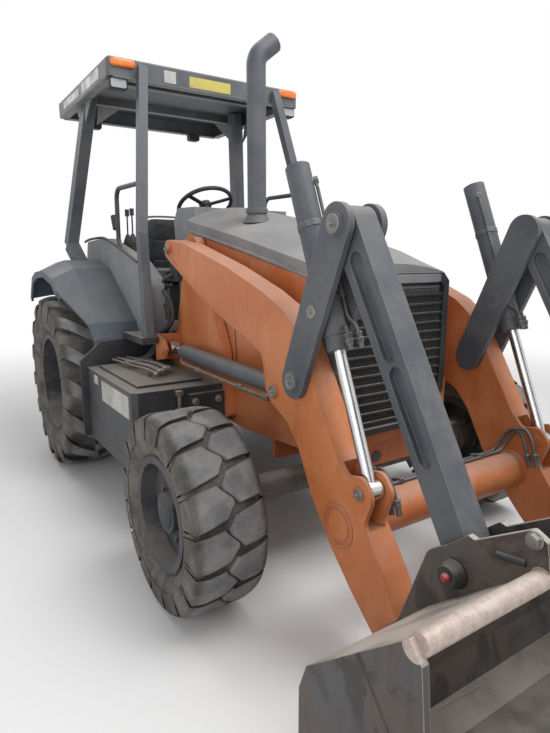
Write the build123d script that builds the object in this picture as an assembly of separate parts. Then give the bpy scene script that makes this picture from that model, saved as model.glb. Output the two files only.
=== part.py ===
from build123d import *
import math
import os

# Tractor loader with an open four-post canopy, a front loader bucket and a rear three-point hitch.
# X runs forward, Y to the machine's left and Z up, in millimetres.
# While the pieces are drawn, X is measured from the rear axle and Z from the ground.
# At the end everything moves along X, so that the origin is under the middle of the machine.

# Overall sizes and places
WHEELBASE = 2040
OVERALL_WIDTH = 2120
BUCKET_WIDTH = 2080
BUCKET_EDGE_X = 3900
HITCH_END_X = -1010
ROOF_TOP_Z = 2640

# Tyres and rims
REAR_TYRE_RADIUS = 600
REAR_TYRE_WIDTH = 430
REAR_RIM_RADIUS = 315
FRONT_TYRE_RADIUS = 420
FRONT_TYRE_WIDTH = 310
FRONT_RIM_RADIUS = 225
RIM_SHEET = 12
TYRE_SEAT_CLEARANCE = 0.2
SEAT_SHARE = 0.78
BEAD_HEIGHT = 24
TYRE_FACETS = 20
LUGS_PER_ROW = 16
FRONT_LUG_DEPTH = 24
REAR_LUG_DEPTH = 36

# Axles and steering
AXLE_TUBE_RADIUS = 95
REAR_SPINDLE_RADIUS = 55
FRONT_SPINDLE_RADIUS = 42
RUNNING_CLEARANCE = 0.05
KINGPIN_INSET = 105
KINGPIN_RADIUS = 22
KINGPIN_REACH = 110

# Frame and loader towers
RAIL_OUTER_Y = 390
RAIL_THICKNESS = 30
RAIL_TOP_Z = 880
FRONT_OVERHANG = 250
RAIL_FRONT_X = WHEELBASE + FRONT_OVERHANG
TOWER_THICKNESS = 55
CROSS_TUBE_RADIUS = 45
GEARBOX_FRONT_X = 1325
ENGINE_TO_NOSE = 170
ENGINE_FRONT_X = RAIL_FRONT_X - ENGINE_TO_NOSE

# Loader arms and their pins, X and Z of each pin
ARM_CENTRE_Y = 520
ARM_WIDTH = 110
TOWER_PIN = (1130, 1510)
LIFT_PIN = (2210, 920)
LIFT_ROD_PIN = (1010, 930)
CRANK_PIN = (2376, 994)
TRUNNION_PIN = (2497, 1272)
LINK_TOP_PIN = (2618, 1574)
LINK_LOW_PIN = (3178, 593)
TILT_ROD_PIN = (2745, 660)
BUCKET_PIN = (2930, 185)
TORQUE_TUBE_AT = (2634, 497)
TORQUE_TUBE_RADIUS = 86
PIN_RADIUS = 26
SIDE_GAP = 5

# Plates that straddle the arms
CRANK_PLATE = 25
EAR_PLATE = 20

# Cylinders
LIFT_BARREL_RADIUS = 43
LIFT_BARREL_LENGTH = 980
LIFT_ROD_RADIUS = 25
TILT_BARREL_RADIUS = 48
TILT_BARREL_ABOVE = 570
TILT_HEAD_BELOW = 95
TILT_ROD_RADIUS = 24
TRUNNION_RADIUS = 28
POCKET_ROOM = 110

# Hood and grille
HOOD_REAR_X = 960
HOOD_FRONT_X = RAIL_FRONT_X
HOOD_NOSE_LENGTH = 230
HOOD_HALF_WIDTH = 386
HOOD_NOSE_HALF_WIDTH = 330
HOOD_PANEL = 20
GRILLE_THICKNESS = 40
GRILLE_BARS = 14
GRILLE_BAR_LOW_Z = 730
GRILLE_CAP_DEPTH = 62
STACK_X = 1460
STACK_Y = -200
STACK_RADIUS = 50

# Operator's place
DECK_TOP_Z = 1000
DECK_THICKNESS = 40
TYRE_SIDE_ROOM = 40
CONSOLE_OUTER_Y = OVERALL_WIDTH / 2 - REAR_TYRE_WIDTH - TYRE_SIDE_ROOM
FENDER_INSET = 60
FENDER_OUTER_Y = OVERALL_WIDTH / 2 - FENDER_INSET
FENDER_SHEET = 12
ROOF_FRONT_X = 570
ROOF_REAR_X = -700
ROOF_HALF_WIDTH = 690
ROOF_DEPTH = 110
ROOF_SHEET = 15
ROOF_CORNER_RADIUS = 26
ROOF_EDGE_CHAMFER = 10

X_MIDDLE = (BUCKET_EDGE_X + HITCH_END_X) / 2
SIDES = (("right", -1), ("left", 1))


def block(x_range, y_range, z_range):
    """A box between the named lowest and highest X, Y and Z."""
    size = [high - low for low, high in (x_range, y_range, z_range)]
    centre = [(high + low) / 2 for low, high in (x_range, y_range, z_range)]
    return Pos(*centre) * Box(*size)


def side_plate(outline, y_range):
    """A plate whose outline is given in X and Z, between two Y values."""
    low, high = y_range
    face = Plane.XZ.offset(-low) * outline
    return extrude(face, amount=high - low, dir=(0, 1, 0))


def polygon(points):
    """A closed outline through the points, where they are given."""
    return Polygon(*points, align=None)


def rounded(corners):
    """A closed outline through corners given as X, Z and the radius of the arc there."""
    arcs = []
    for before, corner, after in zip(corners[-1:] + corners[:-1], corners, corners[1:] + corners[:1]):
        point = Vector(corner[0], corner[1])
        back = (Vector(before[0], before[1]) - point).normalized()
        ahead = (Vector(after[0], after[1]) - point).normalized()
        half = math.radians(back.get_angle(ahead) / 2)
        reach = corner[2] / math.tan(half)
        middle = (back + ahead).normalized() * (corner[2] / math.sin(half) - corner[2])
        arcs.append((point + back * reach, point + middle, point + ahead * reach))
    edges = []
    for arc, following in zip(arcs, arcs[1:] + arcs[:1]):
        if (arc[0] - arc[2]).length > 0.001:
            edges.append(ThreePointArc(*arc))
        edges.append(Line(arc[2], following[0]))
    return make_face(Wire(edges))


def disc(centre, radius):
    """A round outline about a pin."""
    return Pos(*centre) * Circle(radius)


def bar(start, end, outline):
    """A straight bar of one section from start to end."""
    run = Vector(*end) - Vector(*start)
    across = (1, 0, 0) if abs(run.normalized().Y) > 0.95 else (0, 1, 0)
    plane = Plane(origin=start, x_dir=across, z_dir=run)
    return extrude(plane * outline, amount=run.length)


def rod(start, end, radius):
    """A round bar from start to end."""
    return bar(start, end, Circle(radius))


def cross_pin(centre, radius, y_range):
    """A round pin across the machine at X and Z, between two Y values."""
    low, high = y_range
    return rod((centre[0], low, centre[1]), (centre[0], high, centre[1]), radius)


def tapered_link(start, end, start_radius, end_radius):
    """A straight outline round two pins, with a round end about each."""
    dx, dz = end[0] - start[0], end[1] - start[1]
    span = math.hypot(dx, dz)
    turn = math.atan2(dz, dx)
    lean = math.acos((start_radius - end_radius) / span)
    corners = []
    for centre, radius, sides in ((start, start_radius, (1, -1)), (end, end_radius, (-1, 1))):
        for side in sides:
            angle = turn + side * lean
            corners.append((centre[0] + radius * math.cos(angle), centre[1] + radius * math.sin(angle)))
    return polygon(corners) + disc(start, start_radius) + disc(end, end_radius)


def mirrored(shape):
    """The same shape on the other side of the machine."""
    return mirror(shape, about=Plane.XZ)


def both_sides(shape):
    """The shape and its mirror image, as one node."""
    return Compound([*shape.solids(), *mirrored(shape).solids()])


def on_side(shape, side):
    """A shape drawn on the left, put on the side asked for."""
    return shape if side > 0 else mirrored(shape)


def wheel_ring(profile, centre_x, centre_y, centre_z):
    """A ring turned about the wheel's axle, from a profile in Y and radius."""
    ring = revolve(Plane.YZ * polygon(profile), axis=Axis.Y)
    return Pos(centre_x, centre_y, centre_z) * ring


def toward(start, end, distance):
    """The X and Z at a distance from start on the way to end."""
    span = math.dist(start, end)
    share = distance / span
    return tuple(a + (b - a) * share for a, b in zip(start, end))


def at_y(point, y):
    """A point in X and Z, put at a Y value."""
    return (point[0], y, point[1])


ARM_LOW_Y = ARM_CENTRE_Y - ARM_WIDTH / 2
ARM_HIGH_Y = ARM_CENTRE_Y + ARM_WIDTH / 2
GAP_LOW_Y = ARM_LOW_Y - SIDE_GAP
GAP_HIGH_Y = ARM_HIGH_Y + SIDE_GAP
REAR_WHEEL_Y = OVERALL_WIDTH / 2 - REAR_TYRE_WIDTH / 2
FRONT_WHEEL_Y = OVERALL_WIDTH / 2 - FRONT_TYRE_WIDTH / 2
KINGPIN_Y = FRONT_WHEEL_Y - KINGPIN_INSET


# Wheels
LUG_OUTLINES = {
    # Y as a share of the half width and the arc along the tread as a share of the lugs' pitch,
    # for the row on the outer side. A front lug is a block with a wedge towards the middle.
    # A rear lug is a bar whose inner end is the first to meet the ground.
    "front": ((0.97, 0.36), (0.25, 0.46), (-0.16, 0.08), (0.10, -0.24), (0.97, -0.46)),
    "rear": ((0.97, 0.56), (-0.08, -0.22), (-0.08, -0.56), (0.97, 0.16)),
}
ROW_TURNS = {"front": 180, "rear": 0}
CROWN_SHARE = 0.72
SHOULDER_DROP = 0.11


def faceted(levels):
    """A ring of flat facets through levels given as Y and the radius of the facets' corners."""
    sections = []
    for y, radius in levels:
        plane = Plane(origin=(0, y, 0), x_dir=(1, 0, 0), z_dir=(0, 1, 0))
        sections.append(plane * RegularPolygon(radius, TYRE_FACETS, rotation=180 / TYRE_FACETS))
    return loft(sections, ruled=True)


def lug(kind, radius, half, base):
    """One lug at the front of the tyre: its outline in Y and Z, flat on top and bevelled at the shoulder."""
    pitch = 2 * math.pi * radius / LUGS_PER_ROW
    corners = [(y * half, arc * pitch) for y, arc in LUG_OUTLINES[kind]]
    top = math.sqrt(radius ** 2 - max(arc ** 2 for _, arc in corners))
    drop = (radius - base) * 2 * SHOULDER_DROP / (1 - CROWN_SHARE)
    flat = half * CROWN_SHARE
    crown = [
        (base - 20, -half), (top - drop, -half), (top, -flat), (top, flat), (top - drop, half), (base - 20, half),
    ]
    upright = extrude(Plane.YZ.offset(base - 20) * polygon(corners), amount=radius, dir=(1, 0, 0))
    return upright & extrude(Plane.XY.offset(-radius) * polygon(crown), amount=2 * radius)


def tyre(kind, radius, width, rim_radius, depth):
    """A tyre on the left: a faceted carcass with a bore for the rim, and two staggered rows of lugs."""
    half = width / 2
    seat = half * SEAT_SHARE
    bead = rim_radius + TYRE_SEAT_CLEARANCE
    base = radius - depth
    wall = base - bead
    shoulder = half * 0.86
    side = bead + wall * 0.62
    carcass = faceted([(-half, side), (-shoulder, base), (shoulder, base), (half, side)])
    corner = 1 / math.cos(math.pi / TYRE_FACETS)
    for end in (-1, 1):
        levels = [(end * half * 1.01, side - 6), (end * seat, (bead + BEAD_HEIGHT) * corner)]
        carcass -= faceted(sorted(levels))
    carcass -= faceted([(-half, bead * corner), (half, bead * corner)])
    block_shape = lug(kind, radius, half, base)
    other = Rot(ROW_TURNS[kind], 0, 0) * block_shape if ROW_TURNS[kind] else mirror(block_shape, about=Plane.XZ)
    pitch = 360 / LUGS_PER_ROW
    lugs = []
    for step in range(LUGS_PER_ROW):
        lugs.append(Rot(0, step * pitch, 0) * block_shape)
        lugs.append(Rot(0, (step + 0.5) * pitch, 0) * other)
    return carcass.fuse(*lugs)


def rim(radius, width, disc_y, hub_radius, hub_half, bore_radius):
    """A steel rim with a flange at each bead, a dished disc and a bored hub, as one profile."""
    half = width / 2 * SEAT_SHARE
    flange = half + 14
    inner = radius - RIM_SHEET
    return [
        (-flange, inner),
        (disc_y - 8, inner),
        (disc_y - 8, hub_radius),
        (disc_y - hub_half, hub_radius),
        (disc_y - hub_half, bore_radius),
        (disc_y + hub_half, bore_radius),
        (disc_y + hub_half, hub_radius),
        (disc_y + 8, hub_radius),
        (disc_y + 8, inner),
        (flange, inner),
        (flange, radius + 18),
        (half + 2, radius + 18),
        (half + 2, radius),
        (-half - 2, radius),
        (-half - 2, radius + 18),
        (-flange, radius + 18),
    ]


REAR_HUB = (120, 50)
FRONT_HUB = (85, 55)
REAR_DISC_Y = -30
FRONT_DISC_Y = 50


def make_wheels():
    """Two rear and two front wheels, each a rim and a tyre."""
    pieces = {}
    table = (
        ("rear", 0, REAR_WHEEL_Y, REAR_TYRE_RADIUS, REAR_TYRE_WIDTH, REAR_RIM_RADIUS,
         REAR_DISC_Y, REAR_HUB, REAR_SPINDLE_RADIUS, REAR_LUG_DEPTH),
        ("front", WHEELBASE, FRONT_WHEEL_Y, FRONT_TYRE_RADIUS, FRONT_TYRE_WIDTH, FRONT_RIM_RADIUS,
         FRONT_DISC_Y, FRONT_HUB, FRONT_SPINDLE_RADIUS, FRONT_LUG_DEPTH),
    )
    for end, x, y, radius, width, rim_radius, disc_y, hub, spindle, depth in table:
        tyre_shape = Pos(x, y, radius) * tyre(end, radius, width, rim_radius, depth)
        bore = spindle + RUNNING_CLEARANCE
        rim_shape = wheel_ring(rim(rim_radius, width, disc_y, *hub, bore), x, y, radius)
        for name, side in SIDES:
            pieces[f"{end}_tyre_{name}"] = on_side(tyre_shape, side)
            pieces[f"{end}_rim_{name}"] = on_side(rim_shape, side)
    return pieces


# Axles
def make_rear_axle():
    """The rear drive axle: a differential case, two tubes and a spindle in each hub."""
    z = REAR_TYRE_RADIUS
    hub_inner = REAR_WHEEL_Y + REAR_DISC_Y - REAR_HUB[1]
    tube_end = hub_inner - 12
    spindle_end = REAR_WHEEL_Y + REAR_DISC_Y + REAR_HUB[1] - 5
    axle = cross_pin((0, z), AXLE_TUBE_RADIUS, (-tube_end, tube_end))
    axle += cross_pin((0, z), 175, (-120, 120))
    axle += cross_pin((0, z), 130, (tube_end - 60, tube_end))
    axle += cross_pin((0, z), 130, (-tube_end, 60 - tube_end))
    axle += cross_pin((0, z), REAR_SPINDLE_RADIUS, (-spindle_end, spindle_end))
    return axle


def make_front_axle():
    """The front drive axle: a beam with a differential case and a fork about each kingpin."""
    x, z = WHEELBASE, FRONT_TYRE_RADIUS
    axle = cross_pin((x, z), 60, (-KINGPIN_Y + 90, KINGPIN_Y - 90))
    axle += cross_pin((x, z), 130, (-90, 90))
    for side in (-1, 1):
        near, far = sorted((side * (KINGPIN_Y - 130), side * (KINGPIN_Y - 88)))
        axle += block((x - 55, x + 55), (near, far), (z - KINGPIN_REACH, z + KINGPIN_REACH))
        for level in (-1, 1):
            low, high = sorted((level * (KINGPIN_REACH - 32), level * KINGPIN_REACH))
            near, far = sorted((side * (KINGPIN_Y - 90), side * (KINGPIN_Y + 45)))
            axle += block((x - 45, x + 45), (near, far), (z + low, z + high))
        bore = KINGPIN_RADIUS + RUNNING_CLEARANCE
        axle -= rod((x, side * KINGPIN_Y, z - 200), (x, side * KINGPIN_Y, z + 200), bore)
    axle += block((x - 150, x + 150), (-70, 70), (z + 60, z + 128))
    axle += rod((x - 190, 0, z + 100), (x + 190, 0, z + 100), 28)
    return axle


def make_knuckle():
    """A steering knuckle on the left: a block on its kingpin with the wheel's spindle."""
    x, z = WHEELBASE, FRONT_TYRE_RADIUS
    half = KINGPIN_REACH - 32 - 3
    spindle_end = FRONT_WHEEL_Y + FRONT_DISC_Y + FRONT_HUB[1] - 5
    hub_face = FRONT_WHEEL_Y + FRONT_DISC_Y - FRONT_HUB[1] - 6
    knuckle = rod((x, KINGPIN_Y, z - half), (x, KINGPIN_Y, z + half), 52)
    knuckle += rod((x, KINGPIN_Y, z - KINGPIN_REACH), (x, KINGPIN_Y, z + KINGPIN_REACH), KINGPIN_RADIUS)
    knuckle += cross_pin((x, z), 70, (KINGPIN_Y, hub_face))
    knuckle += cross_pin((x, z), FRONT_SPINDLE_RADIUS, (KINGPIN_Y, spindle_end))
    return knuckle


# Frame
def make_main_frame():
    """Two plate rails joined by cross plates and tubes, with the front axle's pivot brackets."""
    rail = side_plate(
        polygon([
            (-430, 730), (-430, RAIL_TOP_Z), (RAIL_FRONT_X, RAIL_TOP_Z), (RAIL_FRONT_X, 620),
            (1640, 570), (1180, 590), (440, 650), (260, 730),
        ]),
        (RAIL_OUTER_Y - RAIL_THICKNESS, RAIL_OUTER_Y),
    )
    inner = RAIL_OUTER_Y - RAIL_THICKNESS
    frame = rail + mirrored(rail)
    frame += block((RAIL_FRONT_X - 30, RAIL_FRONT_X), (-inner, inner), (620, RAIL_TOP_Z))
    frame += block((-430, -400), (-inner, inner), (730, RAIL_TOP_Z))
    for x, z in ((700, 760), (1250, 700)):
        frame += cross_pin((x, z), CROSS_TUBE_RADIUS, (-inner, inner))
    pivot_z = FRONT_TYRE_RADIUS + 100
    for x in (WHEELBASE - 185, WHEELBASE + 155):
        bracket = block((x, x + 30), (-inner, inner), (pivot_z - 45, 700))
        frame += bracket - rod((x - 10, 0, pivot_z), (x + 40, 0, pivot_z), 28 + RUNNING_CLEARANCE)
    saddle = block((-90, 90), (inner - 70, RAIL_OUTER_Y), (REAR_TYRE_RADIUS, 730))
    saddle -= cross_pin((0, REAR_TYRE_RADIUS), AXLE_TUBE_RADIUS, (0, 600))
    frame += saddle + mirrored(saddle)
    return frame


def make_loader_towers():
    """Two towers of thick plate outside the rails, each with a pin for an arm and a fork for a cylinder."""
    low = RAIL_OUTER_Y
    high = RAIL_OUTER_Y + TOWER_THICKNESS
    outline = rounded([
        (800, 640, 20), (1560, 620, 20), (1500, 980, 120), (1330, 1310, 150), (1195, 1580, 60),
        (1062, 1580, 60), (960, 1210, 200), (850, 900, 80),
    ])
    tower = side_plate(outline, (low, high))
    tower += cross_pin(TOWER_PIN, PIN_RADIUS, (high, ARM_HIGH_Y + 14))
    web_x = LIFT_ROD_PIN[0] - 85
    outer = (ARM_HIGH_Y - 5, ARM_HIGH_Y + 15)
    fork = side_plate(
        polygon([(web_x, 850), (web_x, 1010), (1030, 985), (1065, 930), (1030, 875)]), outer
    )
    fork += block((web_x - 20, web_x), (high, outer[1]), (850, 1010))
    fork += cross_pin(LIFT_ROD_PIN, 34, (outer[1], outer[1] + 10))
    return both_sides(tower + fork)


def make_engine():
    """The engine as one block between the rails, on a foot to each."""
    feet = block((ENGINE_FRONT_X - 170, ENGINE_FRONT_X - 70), (-RAIL_OUTER_Y + RAIL_THICKNESS, RAIL_OUTER_Y - RAIL_THICKNESS), (790, 840))
    return block((GEARBOX_FRONT_X, ENGINE_FRONT_X), (-260, 260), (760, 1330)) + feet


def make_gearbox():
    """The gearbox between the engine and the rear axle's case."""
    case = block((140, 1130), (-110, 110), (560, 700)) + block((230, 1130), (-200, 200), (560, 700))
    case += block((800, 1130), (-200, 200), (700, 770)) + block((800, GEARBOX_FRONT_X), (-230, 230), (770, 945))
    return case - make_rear_axle()


# Hood
HOOD_SECTIONS = (
    # X, half width, edge height, crown height
    (HOOD_REAR_X, HOOD_HALF_WIDTH, 1680, 1772),
    (1520, HOOD_HALF_WIDTH, 1578, 1676),
    (HOOD_FRONT_X - HOOD_NOSE_LENGTH, 372, 1462, 1535),
    (HOOD_FRONT_X, HOOD_NOSE_HALF_WIDTH, 1400, 1438),
)
HOOD_EDGE_DROP = 50


def hood_section(x, half_width, edge_z, crown_z):
    """The hood across at one X: a flat underside, short sides and a crowned top."""
    low = edge_z - HOOD_EDGE_DROP
    outline = Polyline((half_width, edge_z), (half_width, low), (-half_width, low), (-half_width, edge_z))
    crown = ThreePointArc((-half_width, edge_z), (0, crown_z), (half_width, edge_z))
    return Plane.YZ.offset(x) * make_face(outline + crown)


def make_hood():
    """The hood's crowned top, lofted through four sections."""
    return loft([hood_section(*row) for row in HOOD_SECTIONS], ruled=True)


def make_hood_side_panels():
    """Sheet panels that close the engine bay below the hood, one on each side."""
    panels = []
    for rear, front in zip(HOOD_SECTIONS[:-1], HOOD_SECTIONS[1:]):
        top_rear, top_front = rear[2] - HOOD_EDGE_DROP, front[2] - HOOD_EDGE_DROP
        sections = []
        for (x, half, _, _), top in ((rear, top_rear), (front, top_front)):
            outer = half - 2
            corners = [(outer, RAIL_TOP_Z), (outer, top), (outer - HOOD_PANEL, top), (outer - HOOD_PANEL, RAIL_TOP_Z)]
            sections.append(Plane.YZ.offset(x) * polygon(corners))
        panels.append(loft(sections, ruled=True))
    side = panels[0] + panels[1] + panels[2]
    return both_sides(side)


def make_grille():
    """The grille at the nose: a frame with bevelled lower corners round a sunk field."""
    half = HOOD_NOSE_HALF_WIDTH
    top = HOOD_SECTIONS[-1][2] - 2
    outline = [
        (-half, 840), (-half, top - 40), (40 - half, top), (half - 40, top), (half, top - 40),
        (half, 840), (half - 90, 680), (90 - half, 680),
    ]
    front = Plane.YZ.offset(HOOD_FRONT_X) * polygon(outline)
    grille = extrude(front, amount=GRILLE_THICKNESS, dir=(1, 0, 0))
    inner = [(y * 0.9, 1040 + (z - 1040) * 0.92) for y, z in outline]
    sunk = Plane.YZ.offset(HOOD_FRONT_X + GRILLE_THICKNESS - 22) * polygon(inner)
    grille -= extrude(sunk, amount=30, dir=(1, 0, 0))
    front_x = HOOD_FRONT_X + GRILLE_THICKNESS
    pitch = (top - GRILLE_CAP_DEPTH - GRILLE_BAR_LOW_Z) / GRILLE_BARS
    for step in range(GRILLE_BARS):
        low = GRILLE_BAR_LOW_Z + step * pitch
        reach = half * 0.9 - max(0, 860 - low) * 0.55
        grille += block((front_x - 22, front_x - 10), (-reach, reach), (low, low + 9))
    cap = block((front_x - 22, front_x + 6), (60 - half, half - 60), (top - GRILLE_CAP_DEPTH + 18, top))
    return grille + cap


def make_cowl():
    """The moulded cowl between the hood and the driver, with the dash in its rear face."""
    outline = rounded([
        (720, DECK_TOP_Z, 5), (690, 1300, 60), (640, 1690, 25), (700, 1772, 40), (HOOD_REAR_X, 1762, 2),
        (HOOD_REAR_X, DECK_TOP_Z, 2),
    ])
    return side_plate(outline, (-330, 330))


def make_exhaust():
    """An upright exhaust stack on a short cone, with its end bent to the left."""
    base_z = 1645
    pipe = rod((STACK_X, STACK_Y, base_z + 50), (STACK_X, STACK_Y, 2380), STACK_RADIUS)
    cone = Pos(STACK_X, STACK_Y, base_z + 25) * Cone(STACK_RADIUS + 26, STACK_RADIUS, 50)
    collar = rod((STACK_X, STACK_Y, base_z + 52), (STACK_X, STACK_Y, base_z + 76), STACK_RADIUS + 9)
    path = FilletPolyline(
        (STACK_X, STACK_Y, 2380), (STACK_X, STACK_Y, 2470), (STACK_X, STACK_Y + 105, 2555), radius=90
    )
    bend = sweep(Plane(origin=(STACK_X, STACK_Y, 2380), z_dir=(0, 0, 1)) * Circle(STACK_RADIUS), path=path)
    stack = pipe + cone + collar + bend
    return stack - make_hood()


# Operator's place
GUARD_REAR_X = 630
GUARD_SHEET = 12
GUARD_OUTER_Y = FENDER_OUTER_Y - 20
TANK_LOW_Z = 360
TANK_TOP_Z = 800
TANK_OUTER_Y = FENDER_OUTER_Y - 60
STEERING_ROOM = 165
TANK_FRONT_X = WHEELBASE - FRONT_TYRE_RADIUS - STEERING_ROOM
DECK_HALF_WIDTH = CONSOLE_OUTER_Y - 15
DECK_STEP_Y = 700


def make_platform():
    """The flat deck under the operator, on brackets from the rails, with a guard ahead of each rear tyre."""
    level = (DECK_TOP_Z - DECK_THICKNESS, DECK_TOP_Z)
    deck = block((-430, 660), (-DECK_HALF_WIDTH, DECK_HALF_WIDTH), level)
    deck += block((GUARD_REAR_X, 890), (-DECK_STEP_Y, DECK_STEP_Y), level)
    guard = polygon([
        (RAIL_OUTER_Y, 640), (RAIL_OUTER_Y + 60, TANK_LOW_Z), (GUARD_OUTER_Y, TANK_LOW_Z), (GUARD_OUTER_Y, 840),
        (850, 950), (740, DECK_TOP_Z - DECK_THICKNESS), (RAIL_OUTER_Y, DECK_TOP_Z - DECK_THICKNESS),
    ])
    guard = extrude(Plane.YZ.offset(GUARD_REAR_X) * guard, amount=GUARD_SHEET, dir=(1, 0, 0))
    deck += guard
    deck += mirrored(guard)
    for side in (-1, 1):
        near, far = sorted((side * 603, side * DECK_STEP_Y))
        deck += block((890, 975), (near, far), level)
    deck += block((890, HOOD_REAR_X - 10), (-RAIL_OUTER_Y + 5, RAIL_OUTER_Y - 5), level)
    for x in (-380, 480):
        for y in (-375, 375):
            deck += block((x, x + 60), (y - 14, y + 14), (RAIL_TOP_Z, DECK_TOP_Z - DECK_THICKNESS))
    towers = block((780, 960), (RAIL_OUTER_Y - 5, RAIL_OUTER_Y + TOWER_THICKNESS + 5), (600, 1600))
    deck -= towers + mirrored(towers)
    return deck


def make_tank():
    """A tank beside the left tower, also the step up to the deck, with a bolted bracket at its front."""
    inner = RAIL_OUTER_Y + TOWER_THICKNESS
    rear = GUARD_REAR_X + GUARD_SHEET
    plan = polygon([
        (rear, inner), (rear, TANK_OUTER_Y), (TANK_FRONT_X, TANK_OUTER_Y), (TANK_FRONT_X + 20, TANK_OUTER_Y - 30),
        (TANK_FRONT_X + 40, inner),
    ])
    tank = extrude(Plane.XY.offset(TANK_LOW_Z) * plan, amount=TANK_TOP_Z - TANK_LOW_Z, dir=(0, 0, 1))
    lid = block((rear + 60, TANK_FRONT_X - 75), (inner + 70, TANK_OUTER_Y - 60), (TANK_TOP_Z, TANK_TOP_Z + 14))
    bracket = block((TANK_FRONT_X + 15, TANK_FRONT_X + 60), (inner, inner + 200), (520, 765))
    foot = block((rear, 790), (RAIL_OUTER_Y, inner), (660, 720))
    return tank + lid + bracket + foot


FENDER_TOP = [
    # X and Z along the top of the sheet, from the rear
    (-770, 1170), (-640, 1360), (-480, 1425), (-200, 1445), (60, 1390), (580, 1060), (GUARD_REAR_X, 960),
    (GUARD_REAR_X, 880),
]
FENDER_LIP = [
    # the same points at the outer edge, where the sheet has come down
    (-755, 1150), (-625, 1310), (-475, 1355), (-215, 1370), (60, 1325), (550, 1040), (GUARD_REAR_X - 12, 950),
    (GUARD_REAR_X - 12, 880),
]
FENDER_SLOPE_Y = FENDER_OUTER_Y - 160
FENDER_BEAD = 16


def fender_section(y, top, share):
    """A strip along the fender at one Y: the top line and a line below it, drawn in towards the axle."""
    low = [(x * (1 - share), REAR_TYRE_RADIUS + (z - REAR_TYRE_RADIUS) * (1 - share * 1.3)) for x, z in top]
    return Plane.XZ.offset(-y) * polygon(top + low[::-1])


def make_fenders():
    """Moulded fenders over the rear tyres: flat inboard, sloping to a thick lip, with an inner wall."""
    inner = [(x * 0.985, REAR_TYRE_RADIUS + (z - REAR_TYRE_RADIUS) * 0.9805) for x, z in FENDER_TOP]
    lip_y = FENDER_OUTER_Y - FENDER_BEAD
    flat = loft([fender_section(CONSOLE_OUTER_Y, FENDER_TOP, 0.015), fender_section(FENDER_SLOPE_Y, FENDER_TOP, 0.015)], ruled=True)
    slope = loft([fender_section(FENDER_SLOPE_Y, FENDER_TOP, 0.015), fender_section(lip_y, FENDER_LIP, 0.015)], ruled=True)
    bead = loft([fender_section(lip_y, FENDER_LIP, 0.045), fender_section(FENDER_OUTER_Y, FENDER_LIP, 0.045)], ruled=True)
    corner = extrude(
        polygon([(180, FENDER_OUTER_Y + 1), (GUARD_REAR_X + 1, FENDER_OUTER_Y + 1), (GUARD_REAR_X + 1, 880)]), amount=2000,
        dir=(0, 0, 1),
    )
    wall = side_plate(
        polygon(inner[:-2] + [(560, DECK_TOP_Z), (-560, DECK_TOP_Z)]),
        (CONSOLE_OUTER_Y, CONSOLE_OUTER_Y + FENDER_SHEET),
    )
    return both_sides(flat + slope + bead - corner + wall)


def make_consoles():
    """Side consoles along the seat, one on each side."""
    outline = rounded([
        (-540, 1430, 20), (-480, 1585, 40), (-40, 1600, 120), (650, 1437, 120), (860, 1330, 90),
        (860, DECK_TOP_Z, 1), (-430, DECK_TOP_Z, 1),
    ])
    return both_sides(side_plate(outline, (CONSOLE_OUTER_Y - 90, CONSOLE_OUTER_Y)))


WHEEL_CENTRE = (430, 0, 1825)
COLUMN_FOOT = (716, 0, 1372)
HUB_THICKNESS = 30


def make_column():
    """The steering column, from the cowl up to the wheel's hub."""
    start, end = Vector(*COLUMN_FOOT), Vector(*WHEEL_CENTRE)
    tip = end - (end - start).normalized() * (HUB_THICKNESS / 2 + 0.3)
    return rod(tuple(start), tuple(tip), 32) - make_cowl()


def make_steering_wheel():
    """The steering wheel: a rim, three spokes and a hub on the column."""
    run = (Vector(*WHEEL_CENTRE) - Vector(*COLUMN_FOOT)).normalized()
    plane = Plane(origin=WHEEL_CENTRE, x_dir=(0, 1, 0), z_dir=run)
    wheel = Torus(190, 14)
    for angle in (90, 210, 330):
        spoke = Rot(0, 0, angle) * (Pos(95, 0, 0) * Box(190, 26, 10))
        wheel += spoke
    wheel += Cylinder(42, HUB_THICKNESS)
    return plane.location * wheel


def make_seat():
    """The seat's pedestal, cushion and back."""
    base = block((-230, 190), (-190, 190), (DECK_TOP_Z, 1270))
    cushion = block((-190, 250), (-230, 230), (1270.3, 1390))
    back = side_plate(polygon([(-190.3, 1275), (-190.3, 1400), (-255, 1790), (-345, 1780), (-290, 1275)]), (-225, 225))
    return {"seat_base": base, "seat_cushion": cushion, "seat_back": back}


LEVER_INSET = 45


def make_lever():
    """The loader's control lever with its grip, on the right console."""
    y = LEVER_INSET - CONSOLE_OUTER_Y
    lever = rod((180, y, 1540), (120, y, 1680), 9) + rod((128, y, 1662), (90, y, 1750), 26)
    return lever - make_consoles()


def post(foot, knee, head, width, depth):
    """One canopy post of rectangular tube, with a knee."""
    section = Rectangle(width, depth)
    lower = bar(foot, knee, section)
    upper = bar(knee, head, section)
    return lower + upper + Pos(*knee) * Sphere(min(width, depth) / 2)


FRONT_KNEE_Y = CONSOLE_OUTER_Y + 32
FRONT_HEAD_Y = ROOF_HALF_WIDTH - 210
RAIL_UP_POST = 42 / 142


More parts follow.
